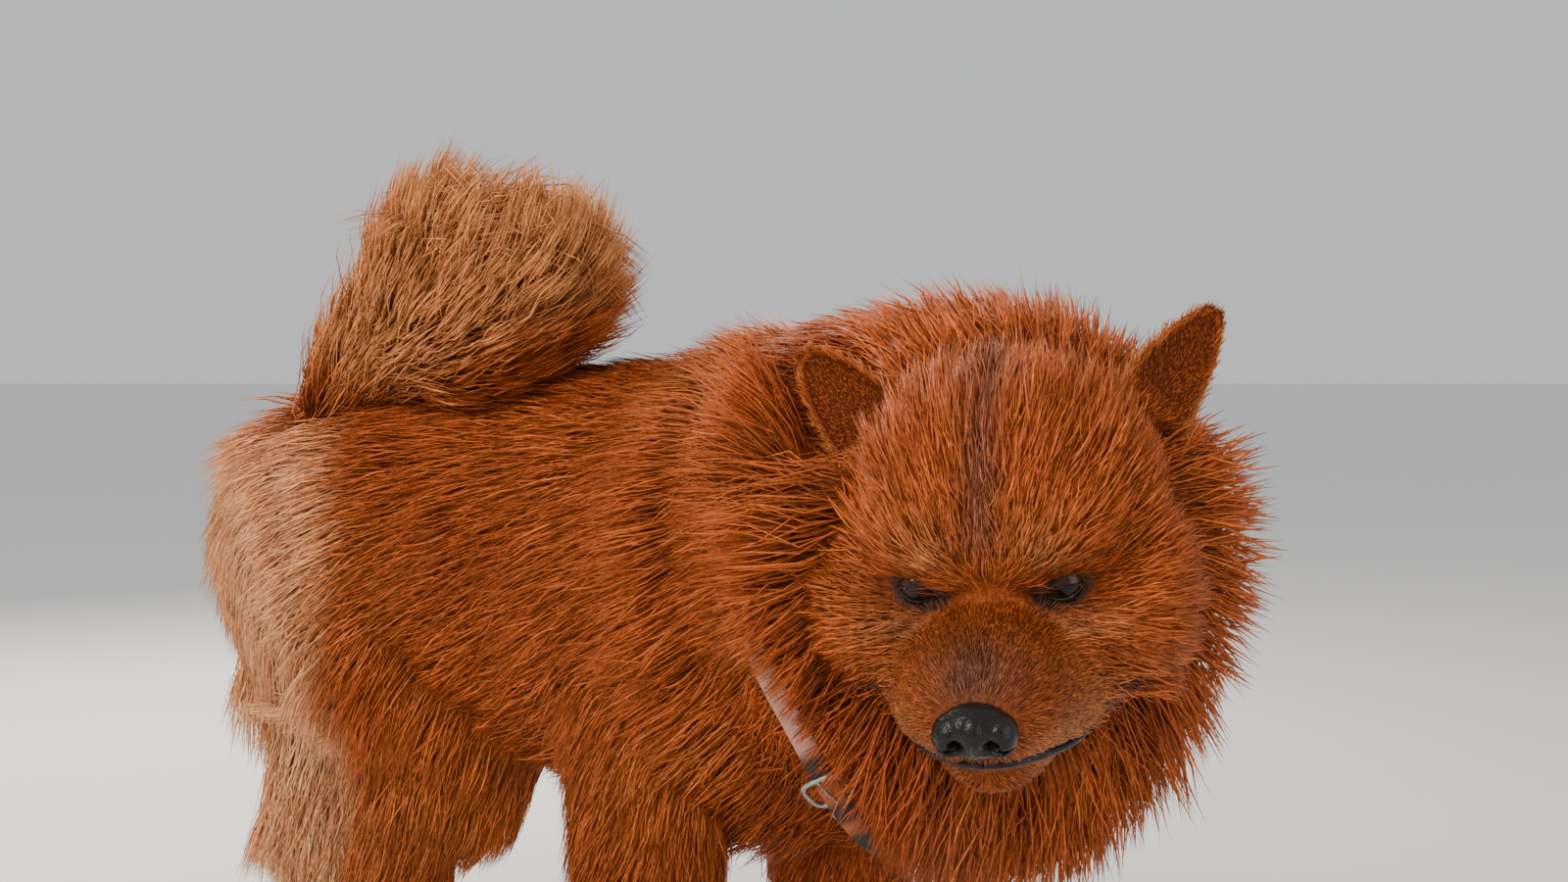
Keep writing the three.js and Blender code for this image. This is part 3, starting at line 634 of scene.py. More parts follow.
def face_markings_and_shade(colour, local):
    """Buff flews, cheeks and brows, a dark saddle, eye rims and lips, with painted shade in the
    eye sockets, the brow groove, under the chin and over the muzzle; the buff cheeks are partly
    painted light.
    """
    mahogany, deep, buff, soot = shades("mahogany", "deep", "buff", "soot")
    f, l, u = local.T
    face = ramp(f, -0.07, -0.03)
    colour = mixed(colour, mahogany * 0.92, 0.7 * face)
    flews = bump(local, (0.050, 0, -0.062), (0.040, 0.060, 0.022)) * ramp(np.abs(l), 0.010, 0.030)
    colour = mixed(colour, buff, 0.85 * flews)
    # Painted shade: the eye sockets are darkened with deep red round each eye.
    colour = mixed(colour, deep, 0.55 * ramp(eye_distance(local), 0.034, 0.020))
    # The buff pads under the eyes are partly buff hair and partly painted light on the raised
    # tops of the cheeks.
    pads = sum(bump(local, (-0.004, s * 0.046, -0.022), (0.02, 0.017, 0.008)) for s in (-1, 1))
    colour = mixed(colour, buff, 0.6 * np.clip(pads, 0, 1))
    brows = sum(bump(local, (-0.002, s * 0.030, 0.022), (0.02, 0.013, 0.009)) for s in (-1, 1))
    colour = mixed(colour, buff, 0.5 * np.clip(brows, 0, 1))
    saddle = bump(local, (0.074, 0, -0.010), (0.026, 0.022, 0.016))
    colour = mixed(colour, soot * 2.2, 0.75 * saddle)
    # Painted shade: the muzzle is darkened towards the nose, less on the flews, for the
    # self-shadow among its short hair.
    colour = colour * (1 - 0.24 * ramp(f, 0.0, 0.035) * (1 - 0.5 * flews))[:, None]
    # Painted shade under the chin: the underside of the jaw is darkened with deep red.
    chin = ramp(u + 0.3 * f, -0.066, -0.080) * ramp(f, -0.04, 0.0)
    colour = mixed(colour, deep, 0.5 * chin)
    # Painted shade in the brow groove, the crease up the forehead between the eyes.
    groove = np.exp(-((l / 0.010) ** 2)) * ramp(u, 0.006, 0.03) * ramp(u, 0.10, 0.07)
    colour = mixed(colour, soot * 1.7, 0.7 * groove * (f > -0.09))
    rims = ramp(opening(local), 1.35, 1.05)
    colour = mixed(colour, soot, 0.9 * rims)
    lips = ramp(mouth_distance(local), 0.008, 0.004)
    return mixed(colour, soot, 0.85 * lips)


# Shader parts

def feed(tree, node, given):
    """The node's inputs are set to values or joined to sockets."""
    for name, value in given.items():
        if isinstance(value, bpy.types.NodeSocket):
            tree.links.new(value, node.inputs[name])
        else:
            node.inputs[name].default_value = value
    return node


def add_node(tree, kind, given=None, **settings):
    """A new node with its settings and inputs."""
    node = tree.nodes.new(kind)
    for name, value in settings.items():
        setattr(node, name, value)
    return feed(tree, node, given or {})


def nodes_of(name):
    """A new material's nodes, emptied but for its shader and output."""
    material = bpy.data.materials.new(name)
    material.use_nodes = True
    tree = material.node_tree
    tree.nodes.clear()
    shader = add_node(tree, "ShaderNodeBsdfPrincipled")
    add_node(tree, "ShaderNodeOutputMaterial", {"Surface": shader.outputs["BSDF"]})
    return material, tree, shader


def new_group(name, inputs):
    """A node group with inputs of these defaults, which puts out a colour and a height."""
    group = bpy.data.node_groups.new(name, "ShaderNodeTree")
    face = group.interface
    for label, default in inputs.items():
        kind = "NodeSocketColor" if isinstance(default, tuple) else "NodeSocketFloat"
        face.new_socket(label, in_out="INPUT", socket_type=kind).default_value = default
    face.new_socket("Color", in_out="OUTPUT", socket_type="NodeSocketColor")
    face.new_socket("Height", in_out="OUTPUT", socket_type="NodeSocketFloat")
    return group, group.nodes.new("NodeGroupInput").outputs, group.nodes.new("NodeGroupOutput")


def strands_group():
    """Hair colour: painted shade that darkens each hair towards its root, a lighter tip and a
    fine change from hair to hair.
    """
    group, given, result = new_group(
        "Strands", {"Color": (1, 1, 1, 1), "Along": 0.0, "Scale": 220.0, "Amount": 0.35}
    )
    place = add_node(group, "ShaderNodeTexCoord")
    noise = add_node(
        group,
        "ShaderNodeTexNoise",
        {"Detail": 3, "Vector": place.outputs["Object"], "Scale": given["Scale"]},
    )
    # Painted shade: each hair is darkened towards its root, where the coat shades itself, and
    # lightened a little at the tip.
    root = add_node(
        group,
        "ShaderNodeMapRange",
        {"From Max": 0.75, "To Min": 0.55, "To Max": 1.08, "Value": given["Along"]},
    )
    spread = add_node(
        group,
        "ShaderNodeMapRange",
        {"From Min": 0.3, "From Max": 0.7, "To Min": -1, "Value": noise.outputs["Fac"]},
    )
    change = add_node(
        group,
        "ShaderNodeMath",
        {0: spread.outputs["Result"], 1: given["Amount"], 2: 1},
        operation="MULTIPLY_ADD",
    )
    value = add_node(
        group,
        "ShaderNodeMath",
        {0: root.outputs["Result"], 1: change.outputs["Value"]},
        operation="MULTIPLY",
    )
    tint = add_node(
        group,
        "ShaderNodeHueSaturation",
        {"Color": given["Color"], "Value": value.outputs["Value"]},
    )
    feed(group, result, {"Color": tint.outputs["Color"], "Height": noise.outputs["Fac"]})


def two_tone_group(name, texture, output):
    """Two colours mixed by a texture between two of its levels, with the texture as height."""
    group, given, result = new_group(
        name,
        {"Scale": 300.0, "From": 0.0, "To": 1.0, "Low": (0, 0, 0, 1), "High": (1, 1, 1, 1)},
    )
    place = add_node(group, "ShaderNodeTexCoord")
    grain = add_node(
        group, texture, {"Vector": place.outputs["Object"], "Scale": given["Scale"]}
    )
    level = add_node(
        group,
        "ShaderNodeMapRange",
        {"Value": grain.outputs[output], "From Min": given["From"], "From Max": given["To"]},
    )
    factor, low, high, mix = 0, 6, 7, 2  # the Mix node's sockets for colours
    blend = add_node(
        group,
        "ShaderNodeMix",
        {factor: level.outputs["Result"], low: given["Low"], high: given["High"]},
        data_type="RGBA",
    )
    feed(group, result, {"Color": blend.outputs[mix], "Height": grain.outputs[output]})


def placed(tree, group, given):
    """The sockets of a group placed in the tree with its own inputs."""
    group = bpy.data.node_groups[group]
    return add_node(tree, "ShaderNodeGroup", given, node_tree=group).outputs


def read(tree, name, output):
    """A socket with what is painted on the mesh under that name."""
    return add_node(tree, "ShaderNodeAttribute", attribute_name=name).outputs[output]


def bumped(tree, height, strength, distance):
    """A socket with the normal of a surface that follows the height."""
    given = {"Strength": strength, "Distance": distance, "Height": height}
    return add_node(tree, "ShaderNodeBump", given).outputs["Normal"]


def coat_material():
    material, tree, shader = nodes_of("Coat hair")
    tone, along = read(tree, "Tone", "Color"), read(tree, "Along", "Fac")
    given = {"Color": tone, "Along": along, "Scale": 240, "Amount": 0.30}
    hair = placed(tree, "Strands", given)
    feed(
        tree,
        shader,
        {"Base Color": hair["Color"], "Roughness": 0.55, "Specular IOR Level": 0.16},
    )
    return material


def skin_material():
    material, tree, shader = nodes_of("Skin under the coat")
    tone = read(tree, "Tone", "Color")
    # Along 0.25 puts the group's painted shade of the hair roots on the skin.
    hair = placed(tree, "Strands", {"Color": tone, "Along": 0.25, "Scale": 520, "Amount": 0.5})
    feed(
        tree,
        shader,
        {
            "Base Color": hair["Color"],
            "Roughness": 0.8,
            "Specular IOR Level": 0.12,
            "Normal": bumped(tree, hair["Height"], 0.6, 0.0012),
        },
    )
    return material


def pebbled(name, grain, finish, bump_strength, bump_distance):
    """A moist leather: cells of two tones, standing a little proud."""
    material, tree, shader = nodes_of(name)
    cells = placed(tree, "Pebbles", grain)
    height = bumped(tree, cells["Height"], bump_strength, bump_distance)
    feed(tree, shader, {"Base Color": cells["Color"], "Normal": height, **finish})
    return material


def leather_material():
    """Black, pebbled and a little moist."""
    return pebbled(
        "Nose leather",
        {"Scale": 620, "Low": (0.006, 0.005, 0.005, 1), "High": (0.014, 0.011, 0.010, 1)},
        {"Roughness": 0.27, "Specular IOR Level": 0.24},
        0.35,
        0.0006,
    )


def lip_material():
    """Dark wet skin with small pale dots."""
    tones = {"Low": (0.10, 0.075, 0.07, 1), "High": (0.016, 0.011, 0.012, 1)}
    return pebbled(
        "Lip skin",
        {"Scale": 260, "From": 0.08, "To": 0.30, **tones},
        {"Roughness": 0.34, "Specular IOR Level": 0.2},
        0.3,
        0.0008,
    )


def eye_material():
    """Near black with a dark brown iris, by the place along the eye's own axis."""
    material, tree, shader = nodes_of("Eye")
    place = add_node(tree, "ShaderNodeTexCoord")
    parts = add_node(tree, "ShaderNodeSeparateXYZ", {"Vector": place.outputs["Object"]})
    share = add_node(
        tree, "ShaderNodeMath", {0: parts.outputs["X"], 1: EYE_RADIUS}, operation="DIVIDE"
    )
    tones = add_node(tree, "ShaderNodeValToRGB", {"Fac": share.outputs["Value"]})
    stops = tones.color_ramp.elements
    back, pupil = stops[0], stops[1]
    back.color = (0.012, 0.008, 0.007, 1)
    pupil.color = (0.004, 0.003, 0.003, 1)
    stops.new(0.62).color = (0.060, 0.022, 0.008, 1)
    stops.new(0.90).color = (0.030, 0.012, 0.005, 1)
    feed(
        tree,
        shader,
        {"Base Color": tones.outputs["Color"], "Roughness": 0.08, "Specular IOR Level": 0.25},
    )
    return material


def horn_material():
    material, tree, shader = nodes_of("Claw horn")
    tones = {"Low": (0.020, 0.014, 0.011, 1), "High": (0.10, 0.065, 0.045, 1)}
    horn = placed(tree, "Mottle", {"Scale": 300, **tones})
    feed(tree, shader, {"Base Color": horn["Color"], "Roughness": 0.35})
    return material


def webbing_material():
    """Woven band in the colours painted along it."""
    material, tree, shader = nodes_of("Collar webbing")
    place = add_node(tree, "ShaderNodeUVMap", uv_map="Weave")
    weave = add_node(
        tree,
        "ShaderNodeTexWave",
        {"Scale": 9, "Distortion": 0.6, "Vector": place.outputs["UV"]},
    )
    feed(
        tree,
        shader,
        {
            "Base Color": read(tree, "Tone", "Color"),
            "Roughness": 0.75,
            "Normal": bumped(tree, weave.outputs["Fac"], 0.5, 0.0006),
        },
    )
    return material


def metal_material():
    material, tree, shader = nodes_of("Buckle metal")
    tones = {"Low": (0.20, 0.19, 0.17, 1), "High": (0.55, 0.53, 0.50, 1)}
    metal = placed(tree, "Mottle", {"Scale": 180, **tones})
    feed(
        tree,
        shader,
        {"Base Color": metal["Color"], "Roughness": metal["Height"], "Metallic": 1.0},
    )
    return material


MAKERS = {
    "Coat hair": coat_material,
    "Skin under the coat": skin_material,
    "Nose leather": leather_material,
    "Lip skin": lip_material,
    "Eye": eye_material,
    "Claw horn": horn_material,
    "Collar webbing": webbing_material,
    "Buckle metal": metal_material,
}


def finish_named(name):
    """The material of that name, made when first asked for, after the groups it may use."""
    if "Strands" not in bpy.data.node_groups:
        strands_group()
        two_tone_group("Pebbles", "ShaderNodeTexVoronoi", "Distance")
        two_tone_group("Mottle", "ShaderNodeTexNoise", "Fac")
    return bpy.data.materials.get(name) or MAKERS[name]()


# The skin

def paw_masses(paw, heading):
    """The foot's body and its four toes, as ellipsoids."""
    turn = np.array((heading, np.cross(UP, heading), UP))

    def place(ahead, side, height):
        return paw + heading * ahead + turn[1] * side + UP * height

    sizes = (PAW_LENGTH / 2 - 0.006, PAW_WIDTH / 2 - 0.004, 0.033)
    yield globe(place(0.006, 0, 0.026), sizes, turn)
    for ahead, side in TOES:
        yield globe(place(ahead, side, 0.0175), (0.018, PAW_WIDTH / 4 * 0.56, 0.0165), turn)


def floor_cut(obj):
    """Nothing of the piece reaches below the floor."""
    co = coords(obj.data)
    co[:, 2] = np.maximum(co[:, 2], 0.0)
    move_to(obj, co)


def make_skin():
    """One closed skin over the body's forms, with the head's own mesh joined to it."""
    forms = [TORSO.mesh(48, 60), NECK.mesh(48, 36), TAIL.mesh(32, 36)]
    forms += [loft.mesh(32, 40) for loft in LEG_LOFTS.values()]
    for paw, _, heading in LEGS.values():
        forms += list(paw_masses(paw, heading))
    body = fused("body", forms, 0.0045, 14)
    floor_cut(body)
    head = mesh_object("head_skin", *head_mesh())
    join_into(body, head)
    body.name = "skin"
    body.data.name = "skin"
    clear_ears(body)
    shade_smooth(body)
    # The skin takes the coat's markings, darkened by 0.8 as painted shade under the hair.
    paint(body.data, "Tone", markings(coords(body.data)) * 0.8)
    return dressed(
        body,
        "coat_red",
        finish_named("Skin under the coat"),
        "head",
        "neck",
        "torso",
        "tail",
        "leg_fore_right",
        "leg_fore_left",
        "leg_hind_right",
        "leg_hind_left",
    )


def clear_ears(skin):
    """The skin in front of an ear's cup is pressed in behind the ear."""
    co = coords(skin.data)
    for side in SIDE:
        root, axes = ear_axes(side)
        local = (co - root) @ axes.T
        x, y, z = local.T
        t = np.clip(y / EAR_LENGTH, 0, 1)
        half = ear_half(t) + 0.002
        share = ramp(np.abs(x), half + 0.012, half) * ramp(y, -0.004, 0.010)
        share *= ramp(y, EAR_LENGTH + 0.012, EAR_LENGTH) * (z < 0.14)
        local[:, 2] += (np.minimum(z, -0.016) - z) * share
        co = root + local @ axes
    move_to(skin, co)


def join_into(target, *others):
    """The others' meshes become part of the target's."""
    with bpy.context.temp_override(
        active_object=target, object=target, selected_editable_objects=[target, *others]
    ):
        bpy.ops.object.join()


# The face's bare pieces

def make_eyes():
    """Balls that look along the head, a little splayed."""
    for side, sign in SIDE.items():
        verts, faces = globe((0, 0, 0), (EYE_RADIUS,) * 3, columns=48, rows=32)
        eye = shade_smooth(mesh_object(f"eyeball_{side}", verts, faces))
        turn = Matrix([list(row) for row in HEAD_AXES.T]).to_4x4()
        splay = Matrix.Rotation(sign * 0.12, 4, "Z")
        eye.matrix_world = Matrix.Translation(Vector(in_head(EYE_AT[side]))) @ turn @ splay
        dressed(eye, "eye", finish_named("Eye"), f"eye_{side}")


def lid_mesh(side, columns=64, rows=8):
    """A rim round the almond opening, rolled over the eyeball and down into the face."""
    centre = np.array(EYE_AT[side])
    angle = np.arange(columns) * TURN / columns
    slant = SIDE[side] * EYE_SLANT
    y0 = np.cos(angle) * LID_HALF
    tall = np.where(np.sin(angle) > 0, LID_UPPER, LID_LOWER)
    z0 = np.sin(angle) * tall * (1 - 0.35 * np.cos(angle) ** 2)
    y = y0 * math.cos(slant) - z0 * math.sin(slant)
    z = y0 * math.sin(slant) + z0 * math.cos(slant)
    rings = []
    for t in np.linspace(0, 1, rows):
        yy, zz = y * (1 + 0.50 * t), z * (1 + 1.2 * t)
        ball = np.sqrt(np.maximum((EYE_RADIUS + 0.0009) ** 2 - yy**2 - zz**2, 1e-8))
        over_eye = centre + np.stack((ball, yy, zz), -1)
        way = unit(centre + np.stack((np.full(columns, 0.009), yy, zz), -1) - HEAD_HEART)
        in_face = head_reach(way, FACE_HAIR + 0.0012)
        share = float(smooth(t))
        roll = 0.0013 * math.sin(math.pi * t)
        rings.append(over_eye * (1 - share) + in_face * share + way * roll)
    rings.insert(0, rings[0] - (0.0022, 0, 0))
    return in_head(np.vstack(rings)), quads(rows + 1, columns)


def make_lids():
    for side in SIDE:
        lid = shade_smooth(mesh_object(f"eyelid_{side}", *lid_mesh(side)))
        dressed(lid, "nose_leather", finish_named("Lip skin"))


def nose_masses():
    """The nose leather's pad, wings and bridge."""
    f, l, u = NOSE_AT
    pad = globe((f, l, u), (0.0150, 0.0205, 0.0150), columns=40, rows=30)
    wings = [
        globe((f + 0.002, s * 0.0130, u - 0.001), (0.0125, 0.0100, 0.0120), columns=32, rows=24)
        for s in (-1, 1)
    ]
    tip = globe((f + 0.004, 0, u + 0.002), (0.0125, 0.0100, 0.0120), columns=32, rows=24)
    lip = globe((f - 0.004, 0, u - 0.012), (0.0110, 0.0065, 0.0070), columns=32, rows=24)
    return [pad, *wings, tip, lip]


def make_nose():
    """The nose leather, with nostrils, their side slots and the crease below."""
    nose = fused("nose_pad", nose_masses(), 0.0007, 8)
    co = coords(nose.data)
    depth = np.zeros(len(co))
    f, _, u = NOSE_AT
    for s in (-1, 1):
        hole = np.array((f + 0.0145, s * 0.0098, u - 0.002))
        depth += 0.0085 * bump(co, hole, (0.02, 0.0036, 0.0034))
        slot_at = np.array((f + 0.010, s * 0.0160, u - 0.0055))
        depth += 0.0050 * bump(co, slot_at, (0.02, 0.0050, 0.0013))
    ahead = ramp(co[:, 0], f - 0.002, f + 0.006)
    crease = np.exp(-((co[:, 1] / 0.0009) ** 2)) * ramp(co[:, 2], u + 0.004, u - 0.003)
    depth = depth * ahead + 0.0022 * crease * ahead
    co[:, 0] -= depth
    move_to(nose, in_head(co))
    shade_smooth(nose)
    dressed(nose, "nose_leather", finish_named("Nose leather"), "nose")


def tube(path, radii, sides=10):
    """Verts and faces of a tapered tube along a path."""
    path = np.asarray(path)
    ahead = unit(np.gradient(path, axis=0))
    side = unit(np.cross(ahead, UP))
    top = np.cross(side, ahead)
    angle = np.arange(sides) * TURN / sides
    around = np.stack((np.cos(angle), np.sin(angle)), -1)[None]
    ring = side[:, None] * around[..., :1] + top[:, None] * around[..., 1:]
    verts = (path[:, None] + ring * np.asarray(radii)[:, None, None]).reshape(-1, 3)
    return verts, quads(len(path), sides) + caps(len(path), sides)


def make_lips():
    """Uneven folds of bare skin above and below the line of the mouth."""
    pieces = []
    for side in SIDE:
        line = MOUTH[side]
        t = np.linspace(0, 1, len(line))
        swell = 0.0028 + 0.0012 * np.sin(math.pi * t) - 0.0016 * t
        upper = line + np.array((0.0006, 0, 0.0024))
        lower = line + np.array((-0.0004, 0, -0.0034))
        wobble = 1 + 0.12 * np.sin(t * 23) + 0.08 * np.sin(t * 41 + 1)
        pieces.append(tube(in_head(upper), swell * 0.48 * wobble))
        pieces.append(tube(in_head(lower), swell * 0.85 * wobble))
    lips = shade_smooth(joined("lips", pieces))
    dressed(lips, "nose_leather", finish_named("Lip skin"))


EARS = {
    "right": (spot(0.128, -0.178, 0.446), (-0.62, 0.36, 0.7), (-0.1, -1, -0.25)),
    "left": (spot(0.284, -0.186, 0.462), (0.56, 0.1, 0.82), (0.42, -0.9, -0.1)),
}


def ear_axes(side):
    """Root, and the ear's own axes: across, towards the tip and out of the cup."""
    root, tip, out = EARS[side]
    y = unit(tip)
    z = unit(np.array(out) - y * np.dot(out, y))
    return root, np.array((np.cross(y, z), y, z))


def ear_half(t):
    """Half width of an ear's outline at a share of its length."""
    return 0.5 * EAR_WIDTH * np.sqrt(np.maximum(0, 1 - t**2.1))


def ear_surface(side, t, angle, scale, lift):
    """Points of the ear's shell for shares of its length and angles round it."""
    half = ear_half(t) * (0.94 - 0.2 * t)
    x = half * np.cos(angle) * scale[0]
    z = half * np.sin(angle) * scale[2] * EAR_DEPTH / EAR_WIDTH + lift * EAR_DEPTH
    y = EAR_LENGTH * t * scale[1]
    root, axes = ear_axes(side)
    return root + np.stack((x, y, z), -1) @ axes


def ear_grid(side, rows=22, columns=40):
    """Verts and faces of the ear, and how many verts its back has before the hollow's."""
    t = np.linspace(0, 0.995, rows)
    angle = np.linspace(math.pi, TURN, columns)
    tt, aa = np.meshgrid(t, angle, indexing="ij")
    outer = ear_surface(side, tt.ravel(), aa.ravel(), (0.97, 0.98, 0.97), 0.0)
    inner = ear_surface(side, tt.ravel(), aa.ravel(), (0.84, 0.90, 0.62), 0.02)
    inner[:columns] = outer[:columns] * 0.3 + inner[:columns] * 0.7
    verts = np.vstack((outer, inner))
    faces = []
    n = rows * columns
    for r in range(rows - 1):
        for i in range(columns - 1):
            a, b = r * columns + i, (r + 1) * columns + i
            faces.append((a, a + 1, b + 1, b))
            faces.append((n + a + 1, n + a, n + b, n + b + 1))
        for i, turn in ((0, 1), (columns - 1, -1)):
            a, b = r * columns + i, (r + 1) * columns + i
            faces.append((a, b, n + b, n + a)[::turn])
    last = (rows - 1) * columns
    for i in range(columns - 1):
        faces.append((last + i, last + i + 1, n + last + i + 1, n + last + i))
        faces.append((i + 1, i, n + i, n + i + 1))
    return verts, faces, n


def make_ears():
    mahogany, deep = shades("mahogany", "deep")
    for side in SIDE:
        verts, faces, back = ear_grid(side)
        ear = shade_smooth(mesh_object(f"ear_skin_{side}", verts, faces))
        tone = np.tile(mahogany, (len(verts), 1))
        tone[back:] = deep * 0.6
        paint(ear.data, "Tone", tone)
        dressed(ear, "coat_red", finish_named("Skin under the coat"), f"ear_{side}")


CLAW_LINE = ((0, 0.013), (0.006, 0.0135), (0.0105, 0.011), (0.014, 0.0065), (0.0155, 0.003))
CLAW_RADII = (0.0030, 0.0028, 0.0023, 0.0014, 0.0004)


def make_claws():
    """A short dark claw on every toe."""
    pieces = []
    for paw, _, heading in LEGS.values():
        side_axis = np.cross(UP, heading)
        for ahead, side in TOES:
            root = paw + heading * (ahead + 0.010) + side_axis * side
            path = [root + heading * d + UP * h for d, h in CLAW_LINE]
            pieces.append(tube(path, CLAW_RADII, 8))
    claws = shade_smooth(joined("claws", pieces))
    dressed(claws, "nose_leather", finish_named("Claw horn"))


# The collar

COLLAR_CENTRE = spot(0.092, -0.062, 0.350)
COLLAR_AXIS = unit((0.84, -0.34, 0.42))
COLLAR_ACROSS = unit(np.cross(UP, COLLAR_AXIS))
COLLAR_DOWN = -unit(np.cross(COLLAR_AXIS, COLLAR_ACROSS))
BUCKLE_ANGLE = 2.34
SHOWN_FROM, SHOWN_TO = 2.02, 2.82  # the stretch that lies over the coat, low on the right side
FRAME_SIZE = (0.013, 0.012)
FRAME_CORNER = 0.55  # 1 for an oval frame, less for squarer corners


def collar_line(count=240):
    """Angles and radii of the ring, taut over the skin and lifted where it shows."""
    tree = skin_tree()
    angle = np.arange(count) * TURN / count
    outward = COLLAR_ACROSS * np.cos(angle)[:, None] + COLLAR_DOWN * np.sin(angle)[:, None]
    radius = np.full(count, 0.12)
    for i, way in enumerate(outward):
        hit = tree.ray_cast(Vector(COLLAR_CENTRE + way * 0.4), Vector(-way))
        if hit[0] is not None:
            radius[i] = 0.4 - hit[3]
    for _ in range(40):
        radius = np.maximum(radius, (np.roll(radius, 3) + np.roll(radius, -3)) / 2)
    for _ in range(8):
        radius = (np.roll(radius, 1) + radius + np.roll(radius, -1)) / 3
    shown = ramp(angle, SHOWN_FROM - 0.35, SHOWN_FROM) * ramp(angle, SHOWN_TO + 0.35, SHOWN_TO)
    slack = ramp(angle, 2.62, 2.06) * shown
    return angle, radius + 0.004 + 0.012 * shown + 0.018 * slack, outward


def skin_tree():
    """The skin, ready to be hit by rays."""
    skin = bpy.data.objects["skin"]
    return BVHTree.FromObject(skin, bpy.context.evaluated_depsgraph_get())


def band_tone(share):
    """The band's colour along it: dark with orange patches, faded pink by the buckle."""
    ground, patch, faded = shades("ground", "patch", "faded")
    patches = ramp(np.sin(share * 260) + 0.6 * np.sin(share * 91), 0.35, 0.7)
    colour = mixed(np.tile(ground, (len(share), 1)), patch, patches)
    stretch = ramp(share, 0.388, 0.396) * ramp(share, 0.50, 0.47)
    return mixed(colour, faded, stretch)


# The band's section, in shares of its width and thickness
BAND_SECTION = (
    (-0.5, 0.0), (-0.46, 0.35), (-0.3, 0.5), (0, 0.54), (0.3, 0.5), (0.46, 0.35),
    (0.5, 0.0), (0.46, -0.35), (0.3, -0.5), (-0.3, -0.5), (-0.46, -0.35),
)


def make_collar(settings):
    """The woven band, one closed loop, and its buckle."""
    angle, radius, outward = collar_line()
    centre = COLLAR_CENTRE + outward * radius[:, None]
    count, sides = len(angle), len(BAND_SECTION)
    lines = [
        centre + COLLAR_AXIS * (a * settings.width) + outward * (b * settings.thickness)
        for a, b in BAND_SECTION
    ]
    verts = np.stack(lines, axis=1).reshape(-1, 3)
    faces = turned(quads(count, sides, loop=True))
    band = shade_smooth(mesh_object("collar_webbing", verts, faces))
    paint(band.data, "Tone", np.repeat(band_tone(angle / TURN), sides, axis=0))
    weave = band.data.uv_layers.new(name="Weave")
    corner = np.empty(len(band.data.loops), int)
    band.data.loops.foreach_get("vertex_index", corner)
    uv = np.stack((corner // sides / count * 60, corner % sides / sides * 4), -1)
    weave.data.foreach_set("uv", uv.astype(np.float32).ravel())
    dressed(band, "band", finish_named("Collar webbing"), "collar_band")
    make_buckle(angle, radius, outward)


def make_buckle(angle, radius, outward):
    """A round-cornered frame with a prong, and two keepers."""
    i = int(BUCKLE_ANGLE / TURN * len(angle))
    out = outward[i]
    along = unit(np.cross(COLLAR_AXIS, out))
    centre = COLLAR_CENTRE + out * (radius[i] + 0.004)
    turn = np.arange(40) * TURN / 40
    shape = np.stack((np.cos(turn), np.sin(turn)), -1)
    shape = np.sign(shape) * np.abs(shape) ** FRAME_CORNER * FRAME_SIZE

    def wire(place, wide, tall, thick, sides):
        """A closed wire of the frame's shape, scaled across and along the band."""
        loop = place + shape[:, :1] * COLLAR_AXIS * wide + shape[:, 1:] * along * tall
        loop = np.vstack((loop, loop[:2]))
        return tube(loop, np.full(len(loop), thick), sides)

    prong = [
        centre + along * a + out * b for a, b in ((-0.012, 0.001), (0, 0.0022), (0.014, 0.0012))
    ]
    pieces = [
        wire(centre, 1, 1, 0.0016, 10),
        tube(spline(prong, np.linspace(0, 1, 12)), np.full(12, 0.0011), 8),
        *(wire(centre + along * shift, 0.75, 0.22, 0.0014, 8) for shift in (0.024, 0.036)),
    ]
    buckle = shade_smooth(joined("buckle", pieces))
    dressed(buckle, "buckle", finish_named("Buckle metal"), "collar_buckle")


# The coat: where each tuft stands and how it lies

PATCH = 0.003  # size of one tuft on the bake map
MOST = 13000  # tufts in one mesh, so that it stays under 200,000 triangles
OVER_FLOOR = 0.0003

REGIONS = {"torso": TORSO, "neck": NECK, "tail": TAIL, **LEG_LOFTS}
OWNERS = [*REGIONS, "head"]


def surface_samples(obj, count, rng, keep=None):
    """Random points on a mesh, spread by area: points and smooth normals."""
    mesh = obj.data
    mesh.calc_loop_triangles()
    tri = np.empty(len(mesh.loop_triangles) * 3, np.int32)
    mesh.loop_triangles.foreach_get("vertices", tri)
    tri = tri.reshape(-1, 3)
    co = coords(mesh)
    normals = np.empty(len(mesh.vertices) * 3, np.float32)
    mesh.vertices.foreach_get("normal", normals)
    normals = normals.reshape(-1, 3)
    a, b, c = (co[tri[:, k]] for k in range(3))
    area = np.linalg.norm(np.cross(b - a, c - a), axis=1)
    if keep is not None:
        area = area * keep((a + b + c) / 3)
    pick = np.searchsorted(np.cumsum(area), rng.random(count) * area.sum())
    pick = np.minimum(pick, len(tri) - 1)
    w = np.sort(rng.random((count, 2)), axis=1)
    w = np.stack((w[:, 0], w[:, 1] - w[:, 0], 1 - w[:, 1]), -1)
    chosen = tri[pick]
    points = np.einsum("nk,nkj->nj", w, co[chosen])
    out = unit(np.einsum("nk,nkj->nj", w, normals[chosen]))
    return points, out


def head_lie(local):
    """Way of the hair in the head's own frame: back from the nose, out over the cheeks."""
    f, l, u = local.T
    side = np.clip(l / 0.05, -1, 1)
    way = np.stack((-np.ones(len(local)), 0.75 * side, 1.1 * np.clip(u / 0.05, -0.7, 1.4)), -1)
    for centre in EYE_AT.values():
        away = local - np.array(centre)
        near = np.exp(-((np.linalg.norm(away, axis=1) / 0.019) ** 2))
        away[:, 0] = 0
        way = way + unit(away) * 2.0 * near[:, None]
    muzzle = ramp(f, 0.02, 0.05)
    down = np.stack((-np.ones(len(local)), 0.35 * side, np.full(len(local), -0.35)), -1)
    return unit(mixed(way, down, muzzle))


